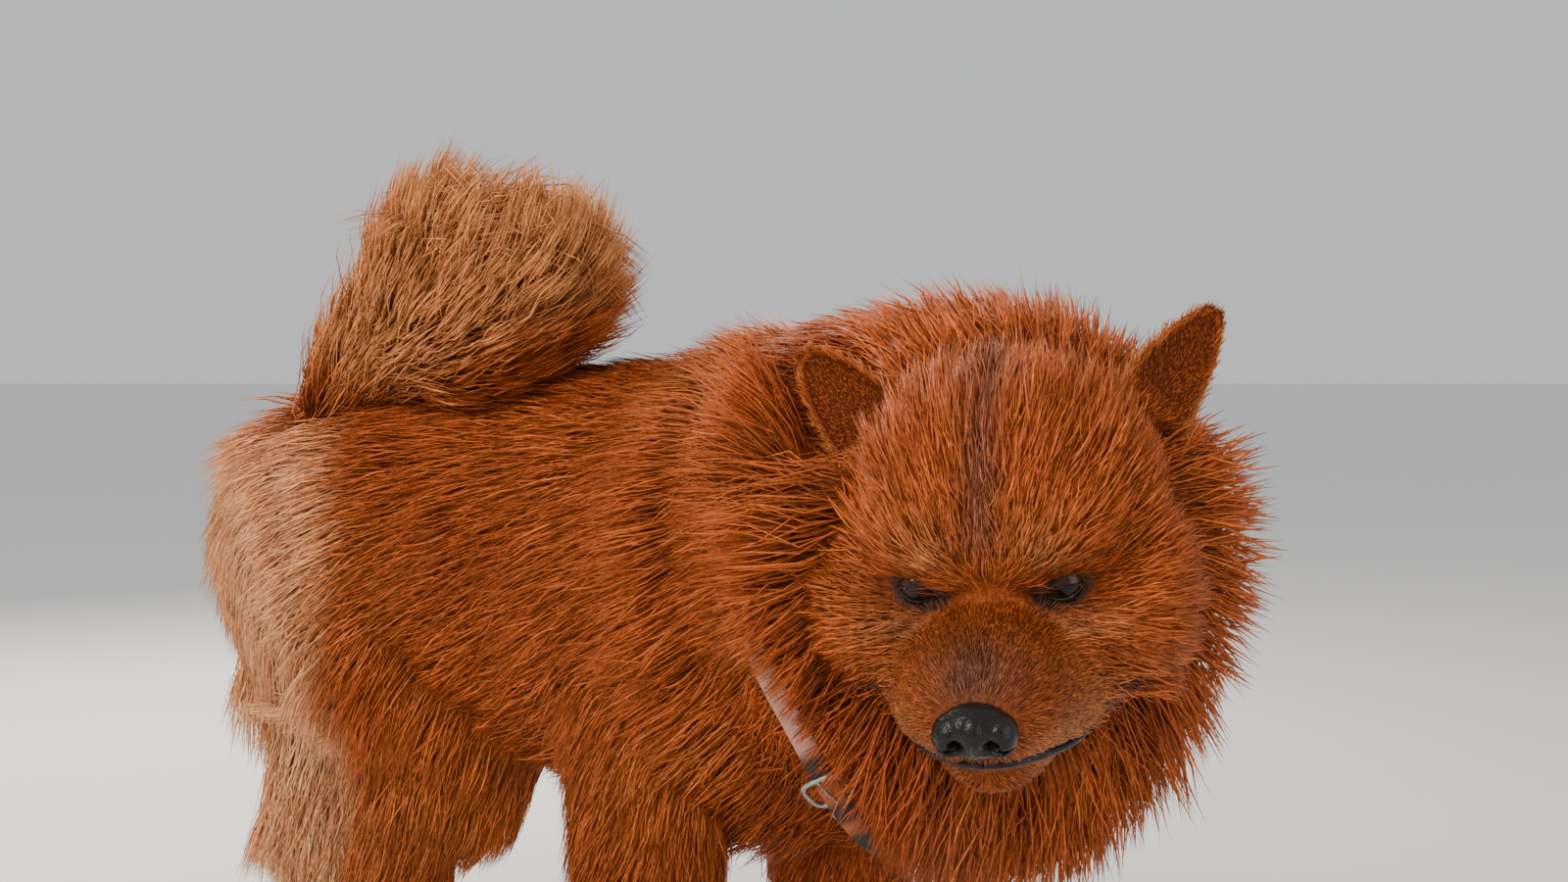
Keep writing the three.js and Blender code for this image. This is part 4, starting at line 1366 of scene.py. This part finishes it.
def lofts_lie(name, loft, u, points, angle):
    """Way of the hair on one loft."""
    ahead = loft.axes(u)[0]
    outward = points - spline(loft.places, u)
    outward = unit(outward - ahead * dot(outward, ahead)[:, None])
    down = -UP[None]
    if name == "torso":
        rear = ramp(u, 0.34, 0.12)[:, None]
        flank = np.abs(np.cos(angle))[:, None]
        return unit(-ahead * (1 - 0.75 * rear) + down * (0.22 + 0.30 * flank + 1.1 * rear))
    if name == "neck":
        front = ramp(u, 0.55, 0.95)[:, None]
        low = np.clip(-np.sin(angle), 0, 1)[:, None]
        back = -ahead * (1.0 - 0.35 * front)
        return unit(back + outward * (0.3 + 0.5 * front) + down * (0.3 + 0.7 * low))
    if name == "tail":
        plume = ramp(u, 0.25, 0.7)[:, None]
        return unit(ahead * (1 - 0.45 * plume) + outward * (0.35 + 0.55 * plume))
    heading = FORE_HEADING if name.startswith("fore") else HIND_HEADING
    return unit(down - heading * 0.30 + np.zeros_like(ahead))


# Length of the hair in metres, and how steeply it stands off the skin
LENGTHS = {"torso": 0.058, "neck": 0.074, "tail": 0.062, "fore": 0.034, "hind": 0.046}
STANDS = {"torso": 0.30, "neck": 0.34, "tail": 0.55, "fore": 0.20, "hind": 0.24}


def form_plan(name, loft, points, out):
    """On one form: nearness of each root, way of the hair, length, stand, bake map place."""
    u, radius, angle = loft.measure(points)
    kind = name.split("_")[0]
    length = np.full(len(points), LENGTHS[kind])
    stand = np.full(len(points), STANDS[kind])
    if kind in ("fore", "hind"):
        height = points[:, 2]
        low = ramp(height, 0.20, 0.07)
        heading = FORE_HEADING if kind == "fore" else HIND_HEADING
        rear = np.clip(-dot(out, heading[None]), 0, 1)
        length = length * (1 - 0.62 * low) * (1 + 0.8 * rear * (1 - 0.6 * low))
        on_paw = 0.009 + 0.006 * np.clip(height / 0.05, 0, 1)
        length = np.where(height < 0.05, on_paw, length)
    if kind == "neck":
        high = ramp(np.sin(angle), 0.3, 0.9)
        length = length * (1 + 0.15 * ramp(-np.sin(angle), 0.2, 0.9) - 0.18 * high)
    if kind == "torso":
        rump = ramp(u, 0.26, 0.06)
        length = length * (1 - 0.22 * rump - 0.12 * ramp(np.sin(angle), 0.5, 1))
        stand = stand * (1 - 0.55 * rump)
    if kind == "tail":
        length = length * (1 - 0.40 * ramp(u, 0.70, 0.95))
    way = lofts_lie(name, loft, u, points, angle)
    return radius, way, length, stand, (angle / TURN + 0.5, u)


def head_plan(points):
    """The same for the head: short on the muzzle, longer over the crown and cheeks."""
    local = to_head(points)
    f, l, u = local.T
    back = ramp(f - 0.35 * np.abs(l) - 0.2 * np.abs(u), 0.032, -0.060)
    crown = ramp(u, 0.015, 0.07)
    bridge = ramp(f, 0.05, 0.01)
    length = 0.0085 + 0.0045 * bridge + 0.036 * back + 0.019 * crown * (1 - back)
    length = length + 0.010 * ramp(-u, 0.08, 0.11)
    length = length * (1 - 0.6 * ramp(eye_distance(local), 0.028, 0.017))
    stand = 0.22 + 0.19 * back + 0.06 * crown
    place = np.arctan2(l, u) / TURN + 0.5, np.clip((f + 0.15) / 0.26, 0, 1)
    return 1 + head_distance(local) / 0.08, head_lie(local) @ HEAD_AXES, length, stand, place


def coat_plan(points, out):
    """For each root: way of the hair, its length and stand, its form and its bake map place."""
    plans = [form_plan(name, loft, points, out) for name, loft in REGIONS.items()]
    radii, ways, lengths, stands, places = zip(*plans, head_plan(points))
    radii = np.array(radii)
    weight = np.exp(-(radii - radii.min(axis=0)) / 0.06)
    weight /= weight.sum(axis=0)
    way = sum(w[:, None] * d for w, d in zip(weight, ways))
    way = unit(way - out * dot(way, out)[:, None])
    length = sum(w * v for w, v in zip(weight, lengths))
    stand = sum(w * v for w, v in zip(weight, stands))
    owner = radii.argmin(axis=0)
    place = np.array(places)[owner, :, np.arange(len(points))]
    column, row = owner % 4, owner // 4
    uv = (np.stack((column, row), -1) + 0.02 + 0.95 * place) / 4 * (1, 2)
    return way, length, stand, owner, uv


def rise(stand, share):
    """Height of a hair over the skin at a share of its length, in lengths."""
    return stand * (share - 0.42 * share**2) * 1.5


def collar_clearance(points, way, length, stand):
    """Hair is pressed flat round the band and stays clear of it where it shows."""
    away = points - COLLAR_CENTRE
    ahead = dot(away, COLLAR_AXIS[None])
    down, across = dot(away, COLLAR_DOWN[None]), dot(away, COLLAR_ACROSS[None])
    angle = np.mod(np.arctan2(down, across), TURN)
    shown = ramp(angle, SHOWN_FROM - 0.3, SHOWN_FROM) * ramp(angle, SHOWN_TO + 0.3, SHOWN_TO)
    near = ramp(np.abs(ahead), 0.03, 0.012)
    speed = np.maximum(-dot(way, COLLAR_AXIS[None]), 0.2)
    half = bpy.context.scene.chow_collar.width / 2
    room = np.maximum(ahead - half, 0.0) / speed + 0.006
    clear = np.where((ahead > 0) & (ahead < 0.07), np.minimum(length, room), length)
    length = length + (clear - length) * shown
    return length, stand * (1 - 0.8 * near * shown)


def ear_clearance(points, way, out, length, stand):
    """Hair that would cross an ear's cup is cut short, and roots within the cup are dropped."""
    keep = np.ones(len(points), bool)
    for side in SIDE:
        root, axes = ear_axes(side)
        for share in (0.0, 0.4, 0.7, 1.0):
            lift = rise(stand, share)[:, None]
            place = points + (way * share + out * lift) * length[:, None]
            x, y, z = ((place - root) @ axes.T).T
            t = np.clip(y / EAR_LENGTH, 0, 1)
            within = (np.abs(x) < ear_half(t) + 0.003) & (y > 0.004) & (y < EAR_LENGTH)
            within &= (z > -0.012) & (z < 0.12)
            if share == 0:
                keep &= ~within
            length = np.where(within, length * max(share - 0.35, 0.1), length)
    return keep, length


FIELDS = ("points", "out", "way", "length", "stand", "width", "tone", "uv")
LINE_FIELDS = ("points", "out", "way", "stand")


class Tufts:
    """Rows of tufts: root, normal, way, length, stand, width, colour and bake map place."""

    def __init__(self, *rows):
        for name, row in zip(FIELDS, rows):
            setattr(self, name, row)

    def select(self, index):
        return Tufts(*(getattr(self, name)[index] for name in FIELDS))


def clumped(tufts, spacing, pull, rng, steps):
    """Middle lines of the tufts, drawn together towards the nearest leading tuft."""
    count = len(tufts.points)
    t = np.array(steps)[None, :, None]
    side = unit(np.cross(tufts.way, tufts.out))
    sway = rng.normal(0, 0.13, (count, 1, 1))
    curl = rng.normal(0, 0.07, (count, 1, 1))

    def line(index):
        p, o, d, s = (getattr(tufts, name)[index][:, None] for name in LINE_FIELDS)
        reach = tufts.length[index][:, None, None]
        sunk = o * np.minimum(0.0015, reach * 0.05)
        return p - sunk + d * reach * t + o * reach * rise(s[..., None], t)

    own = line(slice(None))
    reach = tufts.length[:, None, None]
    own += side[:, None] * reach * (sway * t + curl * np.sin(5 * t))
    leaders = rng.choice(count, max(1, int(count * spacing)), replace=False)
    tree = KDTree(len(leaders))
    for i, leader in enumerate(leaders):
        tree.insert(tufts.points[leader], i)
    tree.balance()
    nearest = leaders[[tree.find(p)[1] for p in tufts.points]]
    led = line(nearest)
    apart = np.linalg.norm(tufts.points - tufts.points[nearest], axis=1)
    share = pull * np.exp(-((apart / 0.02) ** 2))[:, None, None] * t**1.3
    return own + (led - own) * share, side


def tuft_mesh(name, tufts, rng, rings, spacing, pull):
    """One mesh of three-sided tapered tufts with their tone, share of length and bake map."""
    steps = np.linspace(0, 1, rings + 1) ** 0.9
    line, side = clumped(tufts, spacing, pull, rng, steps)
    count = len(line)
    roll = rng.normal(0, 0.5, count)[:, None]
    across = side * np.cos(roll) + tufts.out * np.sin(roll)
    ridge = unit(np.cross(across, tufts.way))
    t = steps[:-1]
    half = tufts.width[:, None] * 0.5 * (0.75 + 0.5 * t - 0.95 * t**2)[None]
    body = line[:, :-1]
    left = body + across[:, None] * half[..., None]
    right = body - across[:, None] * half[..., None]
    top = body + ridge[:, None] * (half * 0.7)[..., None]
    rows = np.stack((left, top, right), 2).reshape(count, -1, 3)
    verts = np.concatenate((rows, line[:, -1:]), 1)
    verts[..., 2] = np.maximum(verts[..., 2], OVER_FLOOR)
    per = verts.shape[1]
    tri = []
    for r in range(rings - 1):
        for i in range(3):
            a, b = r * 3 + i, r * 3 + (i + 1) % 3
            tri += [(a, b, b + 3), (a, b + 3, a + 3)]
    last = (rings - 1) * 3
    tri += [(last + i, last + (i + 1) % 3, per - 1) for i in range(3)]
    faces = (np.array(tri)[None] + (np.arange(count) * per)[:, None, None]).reshape(-1)
    mesh = bpy.data.meshes.new(name)
    mesh.vertices.add(count * per)
    mesh.vertices.foreach_set("co", verts.astype(np.float32).ravel())
    mesh.loops.add(len(faces))
    mesh.loops.foreach_set("vertex_index", faces.astype(np.int32))
    mesh.polygons.add(len(faces) // 3)
    mesh.polygons.foreach_set("loop_start", np.arange(0, len(faces), 3, dtype=np.int32))
    mesh.update(calc_edges=True)
    mesh.polygons.foreach_set("use_smooth", [True] * (len(faces) // 3))
    paint(mesh, "Tone", np.repeat(tufts.tone, per, axis=0))
    along = np.append(np.repeat(t, 3), 1.0)
    values(mesh, "Along", np.tile(along, count))
    patch = np.stack((np.append(np.tile((0, 0.5, 1), rings), 0.5), along), -1) - 0.5
    uv = (tufts.uv[:, None] + PATCH * patch[None]).reshape(-1, 2)
    layer = mesh.uv_layers.new(name="OFBake")
    layer.data.foreach_set("uv", uv[faces].astype(np.float32).ravel())
    obj = link(bpy.data.objects.new(name, mesh))
    return dressed(obj, "coat_red", finish_named("Coat hair"))


def grow(name, tufts, rng, rings, spacing, pull, slot="coat_red"):
    """Several meshes of like tufts."""
    pieces = max(1, math.ceil(len(tufts.points) / MOST))
    order = rng.permutation(len(tufts.points))
    for i, part in enumerate(np.array_split(order, pieces)):
        piece = tuft_mesh(f"{name}_{i + 1}", tufts.select(part), rng, rings, spacing, pull)


def planned(points, out, rng, width, spread=0.22):
    """Tufts at the roots, with the coat's plan and its markings."""
    way, length, stand, owner, uv = coat_plan(points, out)
    length, stand = collar_clearance(points, way, length, stand)
    clear, length = ear_clearance(points, way, out, length, stand)
    length = length * rng.normal(1, 0.13, len(points)).clip(0.6, 1.35)
    stand = stand * rng.normal(1, 0.25, len(points)).clip(0.3, 1.9)
    way = unit(way + rng.normal(0, 0.09, way.shape))
    way = unit(way - out * dot(way, out)[:, None])
    tone = markings(points + way * length[:, None] * 0.4)
    tone = tone * rng.normal(1, spread, (len(points), 1)).clip(0.5, 1.6)
    tone = tone * (1 + 0.22 * waves(points, 0.012, 3.0))[:, None]
    widths = width * rng.normal(1, 0.18, len(points)).clip(0.6, 1.5)
    tufts = Tufts(points, out, way, length, stand, widths, np.clip(tone, 0.004, 0.95), uv)
    return tufts.select(clear), owner[clear]


def bare(points):
    """Roots that fall on an eye, the nose or the lips."""
    local = to_head(points)
    nose = np.linalg.norm((local - NOSE_AT) / NOSE_BARE, axis=1) < 1
    lips = mouth_distance(local) < LIP_BARE
    return (opening(local) < 1.06) | nose | lips


def make_body_coat(settings):
    """The tufts of the torso, ruff, tail and legs."""
    rng = np.random.default_rng(11)
    total = settings.body_tufts + settings.tail_tufts + settings.leg_tufts

    def dense(middle):
        head = head_distance(to_head(middle)) < 0.004
        tail = TAIL.measure(middle)[1] < 1.1
        ruff = NECK.measure(middle)[1] < 1.06
        return np.where(head, 0.0, np.where(tail, 1.8, np.where(ruff, 1.4, 0.85)))

    points, out = surface_samples(bpy.data.objects["skin"], int(total * 1.1), rng, dense)
    tufts, owner = planned(points, out, rng, settings.body_width)
    # name: the forms it covers, rings of each tuft and material slot
    groups = {
        "coat_torso": (["torso", "head"], 2, "coat_red"),
        "coat_ruff": (["neck"], 3, "coat_red"),
        "coat_tail": (["tail"], 3, "coat_tail"),
        "coat_legs": (list(LEG_LOFTS), 2, "coat_red"),
    }
    for name, (members, rings, slot) in groups.items():
        chosen = np.isin(owner, [OWNERS.index(m) for m in members])
        part = tufts.select(np.nonzero(chosen)[0])
        if name == "coat_legs":
            part.width = part.width * np.where(part.points[:, 2] < 0.07, 0.55, 0.8)
            part.points[:, 2] = np.maximum(part.points[:, 2], 0.003)
        grow(name, part, rng, rings, 0.05, 0.55, slot)


def make_head_coat(settings):
    """Short tufts on the face, longer and wider ones round it."""
    rng = np.random.default_rng(23)

    def dense(middle):
        local = to_head(middle)
        on_head = np.abs(head_distance(local) + FACE_HAIR) < 0.009
        outside = NECK.measure(middle)[1] > 0.93
        fine = 1 + 1.6 * ramp(local[:, 0], -0.05, 0.0)
        return np.where(on_head & outside, fine, 0.0)

    points, out = surface_samples(bpy.data.objects["skin"], settings.head_tufts, rng, dense)
    keep = ~bare(points)
    tufts, _ = planned(points[keep], out[keep], rng, settings.face_width, 0.26)
    long = ramp(tufts.length, 0.014, 0.04)
    tufts.width = tufts.width * (1 + 0.9 * long)
    short = long < 0.3
    grow("coat_face", tufts.select(np.nonzero(short)[0]), rng, 2, 0.10, 0.35)
    grow("coat_cheeks", tufts.select(np.nonzero(~short)[0]), rng, 3, 0.06, 0.6)


def make_ear_coat(settings):
    """Short tufts on the ears: dark in the hollow and orange along the rim."""
    rng = np.random.default_rng(37)
    mahogany, deep, orange = shades("mahogany", "deep", "orange")
    for side in SIDE:
        ear = bpy.data.objects[f"ear_skin_{side}"]
        root, axes = ear_axes(side)
        points, out = surface_samples(ear, settings.ear_tufts, rng)
        count = len(points)
        local = (points - root) @ axes.T
        across = local[:, 0]
        hollow = dot(out, axes[2][None]) > 0.15
        tip = np.clip(local[:, 1] / EAR_LENGTH, 0, 1)
        way = np.tile(axes[1], (count, 1)) + axes[0] * (across[:, None] / EAR_WIDTH) * 1.2
        way = unit(way - out * dot(way, out)[:, None])
        length = np.where(hollow, 0.013, 0.015) * (1 - 0.45 * tip)
        length = length * rng.normal(1, 0.2, count).clip(0.5, 1.5)
        tone = np.where(hollow[:, None], deep * 0.7, mahogany * 1.05)
        rim = 0.47 * EAR_WIDTH * np.sqrt(1.02 - tip**2.1) * (1 - 0.2 * tip)
        tone = mixed(tone, orange, 0.85 * ramp(np.abs(across) / rim, 0.74, 0.90))
        streak = np.exp(-(((across - 0.008) / 0.006) ** 2)) * hollow
        tone = mixed(tone, mahogany * 0.9, 0.7 * streak)
        tone = np.clip(tone * rng.normal(1, 0.2, (count, 1)).clip(0.5, 1.5), 0.004, 0.95)
        uv = np.stack((0.5 + across, 0.05 + local[:, 1]), -1) * 0.2 + (0.76, 0.76)
        stand, width = np.full(count, 0.25), np.full(count, settings.face_width * 1.1)
        tufts = Tufts(points, out, way, length, stand, width, tone, uv)
        grow(f"coat_ear_{side}", tufts, rng, 2, 0.10, 0.3)


# Settings and operators

def colour_setting(name, description, default):
    """A colour that a user would change."""
    return FloatVectorProperty(
        name=name, description=description, default=default, subtype="COLOR", min=0, max=1
    )


def size_setting(name, description, default):
    """A size in metres that a user would change."""
    return FloatProperty(name=name, description=description, default=default, unit="LENGTH")


class ColourSettings(bpy.types.PropertyGroup):
    """Colours of the coat and the collar."""

    mahogany: colour_setting("Mahogany", "Most of the coat", (0.46, 0.098, 0.018))
    # Deep red also carries the painted shade of the eye sockets and under the chin.
    deep: colour_setting("Deep red", "Darker clouds, chin and eye sockets", (0.24, 0.040, 0.010))
    orange: colour_setting("Orange", "Lighter clouds, belly and ear rims", (0.62, 0.20, 0.052))
    # Buff also carries the painted light on the cheek pads.
    buff: colour_setting("Buff", "Flews, cheeks and brows", (0.66, 0.29, 0.11))
    tan: colour_setting("Tan", "Plume of the tail", (0.62, 0.25, 0.085))
    cream: colour_setting("Cream", "Breeches, far hind leg and chest", (0.92, 0.43, 0.20))
    # Soot also carries the painted shade of the brow groove.
    soot: colour_setting("Soot", "Brow groove, eye rims and lips", (0.085, 0.040, 0.026))
    ground: colour_setting("Collar", "Ground of the collar's band", (0.020, 0.017, 0.016))
    patch: colour_setting("Collar patches", "Patches along the band", (0.42, 0.11, 0.03))
    faded: colour_setting("Collar, faded", "Faded stretch of the band", (0.55, 0.25, 0.18))


class CollarSettings(bpy.types.PropertyGroup):
    """Sizes of the collar."""

    width: size_setting("Band width", "Width of the collar's band", 0.015)
    thickness: size_setting("Band thickness", "Thickness of the collar's band", 0.003)


class CoatSettings(bpy.types.PropertyGroup):
    """Numbers of tufts and their widths."""

    body_tufts: IntProperty(
        name="Body tufts", description="Tufts on the torso and neck", default=68000, min=1000
    )
    tail_tufts: IntProperty(
        name="Tail tufts", description="Tufts on the tail", default=9000, min=500
    )
    leg_tufts: IntProperty(
        name="Leg tufts", description="Tufts on the legs and feet", default=15000, min=500
    )
    head_tufts: IntProperty(
        name="Head tufts", description="Tufts on the face and crown", default=36000, min=500
    )
    ear_tufts: IntProperty(
        name="Ear tufts", description="Tufts on each ear", default=3400, min=100
    )
    body_width: size_setting("Body width", "Width of a body tuft", 0.0019)
    face_width: size_setting("Face width", "Width of a face tuft", 0.0009)


class StageSettings(bpy.types.PropertyGroup):
    """Floor, light and camera."""

    floor_colour: colour_setting("Floor", "Colour of the floor", (0.80, 0.79, 0.77))
    key_power: FloatProperty(
        name="Key", description="Power of the key light", default=58, unit="POWER"
    )
    focal_length: FloatProperty(
        name="Focal length", description="Lens of the camera", default=47.25, unit="CAMERA"
    )


class CHOW_OT_skin(bpy.types.Operator):
    """Build the skin under the coat"""

    bl_idname = "chow.skin"
    bl_label = "Skin"

    def execute(self, context):
        make_skin()
        return {"FINISHED"}


class CHOW_OT_face(bpy.types.Operator):
    """Build the eyes, eyelids, nose and lips"""

    bl_idname = "chow.face"
    bl_label = "Face"

    def execute(self, context):
        make_eyes()
        make_lids()
        make_nose()
        make_lips()
        return {"FINISHED"}


class CHOW_OT_ears(bpy.types.Operator):
    """Build the ears' skin"""

    bl_idname = "chow.ears"
    bl_label = "Ears"

    def execute(self, context):
        make_ears()
        return {"FINISHED"}


class CHOW_OT_claws(bpy.types.Operator):
    """Build the claws"""

    bl_idname = "chow.claws"
    bl_label = "Claws"

    def execute(self, context):
        make_claws()
        return {"FINISHED"}


class CHOW_OT_collar(bpy.types.Operator):
    """Build the collar's band and buckle"""

    bl_idname = "chow.collar"
    bl_label = "Collar"

    def execute(self, context):
        make_collar(context.scene.chow_collar)
        return {"FINISHED"}


class CHOW_OT_coat(bpy.types.Operator):
    """Grow the coat of the body, neck, tail and legs"""

    bl_idname = "chow.coat"
    bl_label = "Body coat"

    def execute(self, context):
        make_body_coat(context.scene.chow_coat)
        return {"FINISHED"}


class CHOW_OT_head_coat(bpy.types.Operator):
    """Grow the short hair of the face and the longer hair of the crown and cheeks"""

    bl_idname = "chow.head_coat"
    bl_label = "Head coat"

    def execute(self, context):
        make_head_coat(context.scene.chow_coat)
        return {"FINISHED"}


class CHOW_OT_ear_coat(bpy.types.Operator):
    """Grow the hair on the ears' backs, rims and hollows"""

    bl_idname = "chow.ear_coat"
    bl_label = "Ear coat"

    def execute(self, context):
        make_ear_coat(context.scene.chow_coat)
        return {"FINISHED"}


class CHOW_OT_stage(bpy.types.Operator):
    """Set up the floor, the lights and the camera"""

    bl_idname = "chow.stage"
    bl_label = "Stage"

    def execute(self, context):
        settings = context.scene.chow_stage
        make_floor(settings.floor_colour)
        make_lights(settings.key_power)
        make_camera(settings.focal_length)
        return {"FINISHED"}


FLOOR_HALF = 30


def make_floor(colour):
    square = ((-1, -1), (1, -1), (1, 1), (-1, 1))
    corners = [(x * FLOOR_HALF, y * FLOOR_HALF, 0) for x, y in square]
    floor = mesh_object("floor", corners, [(0, 1, 2, 3)])
    material, tree, shader = nodes_of("Pale floor")
    noise = add_node(tree, "ShaderNodeTexNoise", {"Scale": 3})
    level = add_node(
        tree,
        "ShaderNodeMapRange",
        {"To Min": 0.97, "To Max": 1.03, "Value": noise.outputs["Fac"]},
    )
    tint = add_node(
        tree,
        "ShaderNodeHueSaturation",
        {"Color": (*colour, 1), "Value": level.outputs["Result"]},
    )
    feed(tree, shader, {"Base Color": tint.outputs["Color"], "Roughness": 0.9})
    floor.data.materials.append(material)
    floor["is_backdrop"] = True


LIT_AT = Vector((0, 0, 0.32))  # where the lamps are aimed, in the middle of the body


def make_lights(power):
    world = bpy.data.worlds.new("Studio")
    world.use_nodes = True
    sky = world.node_tree.nodes["Background"]
    feed(world.node_tree, sky, {"Color": (0.92, 0.93, 0.95, 1), "Strength": 0.70})
    bpy.context.scene.world = world
    # name: place, size, power and colour
    lamps = {
        "key": ((-1.3, -1.6, 1.9), 1.3, power, (1.0, 0.94, 0.86)),
        "back": ((-1.0, 1.7, 1.7), 1.0, power * 1.1, (1.0, 0.90, 0.78)),
        "fill": ((1.9, -1.5, 1.0), 1.6, power * 0.30, (0.90, 0.95, 1.0)),
    }
    for name, (place, size, watts, colour) in lamps.items():
        lamp = bpy.data.lights.new(name, "AREA")
        lamp.size = size
        lamp.energy = watts
        lamp.color = colour
        obj = link(bpy.data.objects.new(name, lamp))
        obj.location = place
        aim = LIT_AT - obj.location
        obj.rotation_euler = aim.to_track_quat("-Z", "Y").to_euler()


def make_camera(focal_length):
    camera = link(bpy.data.objects.new("camera", bpy.data.cameras.new("camera")))
    camera.data.sensor_width = 36
    camera.data.lens = focal_length
    camera.location = spot(0.070, -1.400, 0.500)
    pixels = focal_length / camera.data.sensor_width * PHOTO[0]
    down = math.atan((PHOTO[1] / 2 - HORIZON) / pixels)
    camera.rotation_euler = (math.pi / 2 - down, 0, 0)
    bpy.context.scene.camera = camera


class CHOW_PT_panel(bpy.types.Panel):
    """Lists the pieces and their settings"""

    bl_idname = "CHOW_PT_panel"
    bl_label = "Chow chow"
    bl_space_type = "VIEW_3D"
    bl_region_type = "UI"
    bl_category = "Chow chow"

    def draw(self, context):
        for settings in SETTINGS:
            group = getattr(context.scene, settings)
            for name in group.bl_rna.properties.keys():
                if name not in ("rna_type", "name"):
                    self.layout.prop(group, name)
        for operator in OPERATORS:
            self.layout.operator(operator.bl_idname)


OPERATORS = (
    CHOW_OT_skin,
    CHOW_OT_face,
    CHOW_OT_ears,
    CHOW_OT_claws,
    CHOW_OT_collar,
    CHOW_OT_coat,
    CHOW_OT_head_coat,
    CHOW_OT_ear_coat,
    CHOW_OT_stage,
)
SETTINGS = {
    "chow_coat": CoatSettings,
    "chow_colours": ColourSettings,
    "chow_collar": CollarSettings,
    "chow_stage": StageSettings,
}
CLASSES = (*SETTINGS.values(), *OPERATORS, CHOW_PT_panel)


def register():
    for cls in CLASSES:
        bpy.utils.register_class(cls)
    for name, group in SETTINGS.items():
        setattr(bpy.types.Scene, name, PointerProperty(type=group))


def unregister():
    for name in SETTINGS:
        delattr(bpy.types.Scene, name)
    for cls in reversed(CLASSES):
        bpy.utils.unregister_class(cls)


def main():
    register()
    bpy.ops.chow.skin()
    bpy.ops.chow.face()
    bpy.ops.chow.ears()
    bpy.ops.chow.claws()
    bpy.ops.chow.collar()
    bpy.ops.chow.coat()
    bpy.ops.chow.head_coat()
    bpy.ops.chow.ear_coat()
    bpy.ops.chow.stage()
    boxes = {"cad": CAD_BOX, "visual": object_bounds()}
    {name: [list(corner) for corner in box] for name, box in boxes.items()}


if __name__ == "__main__":
    main()
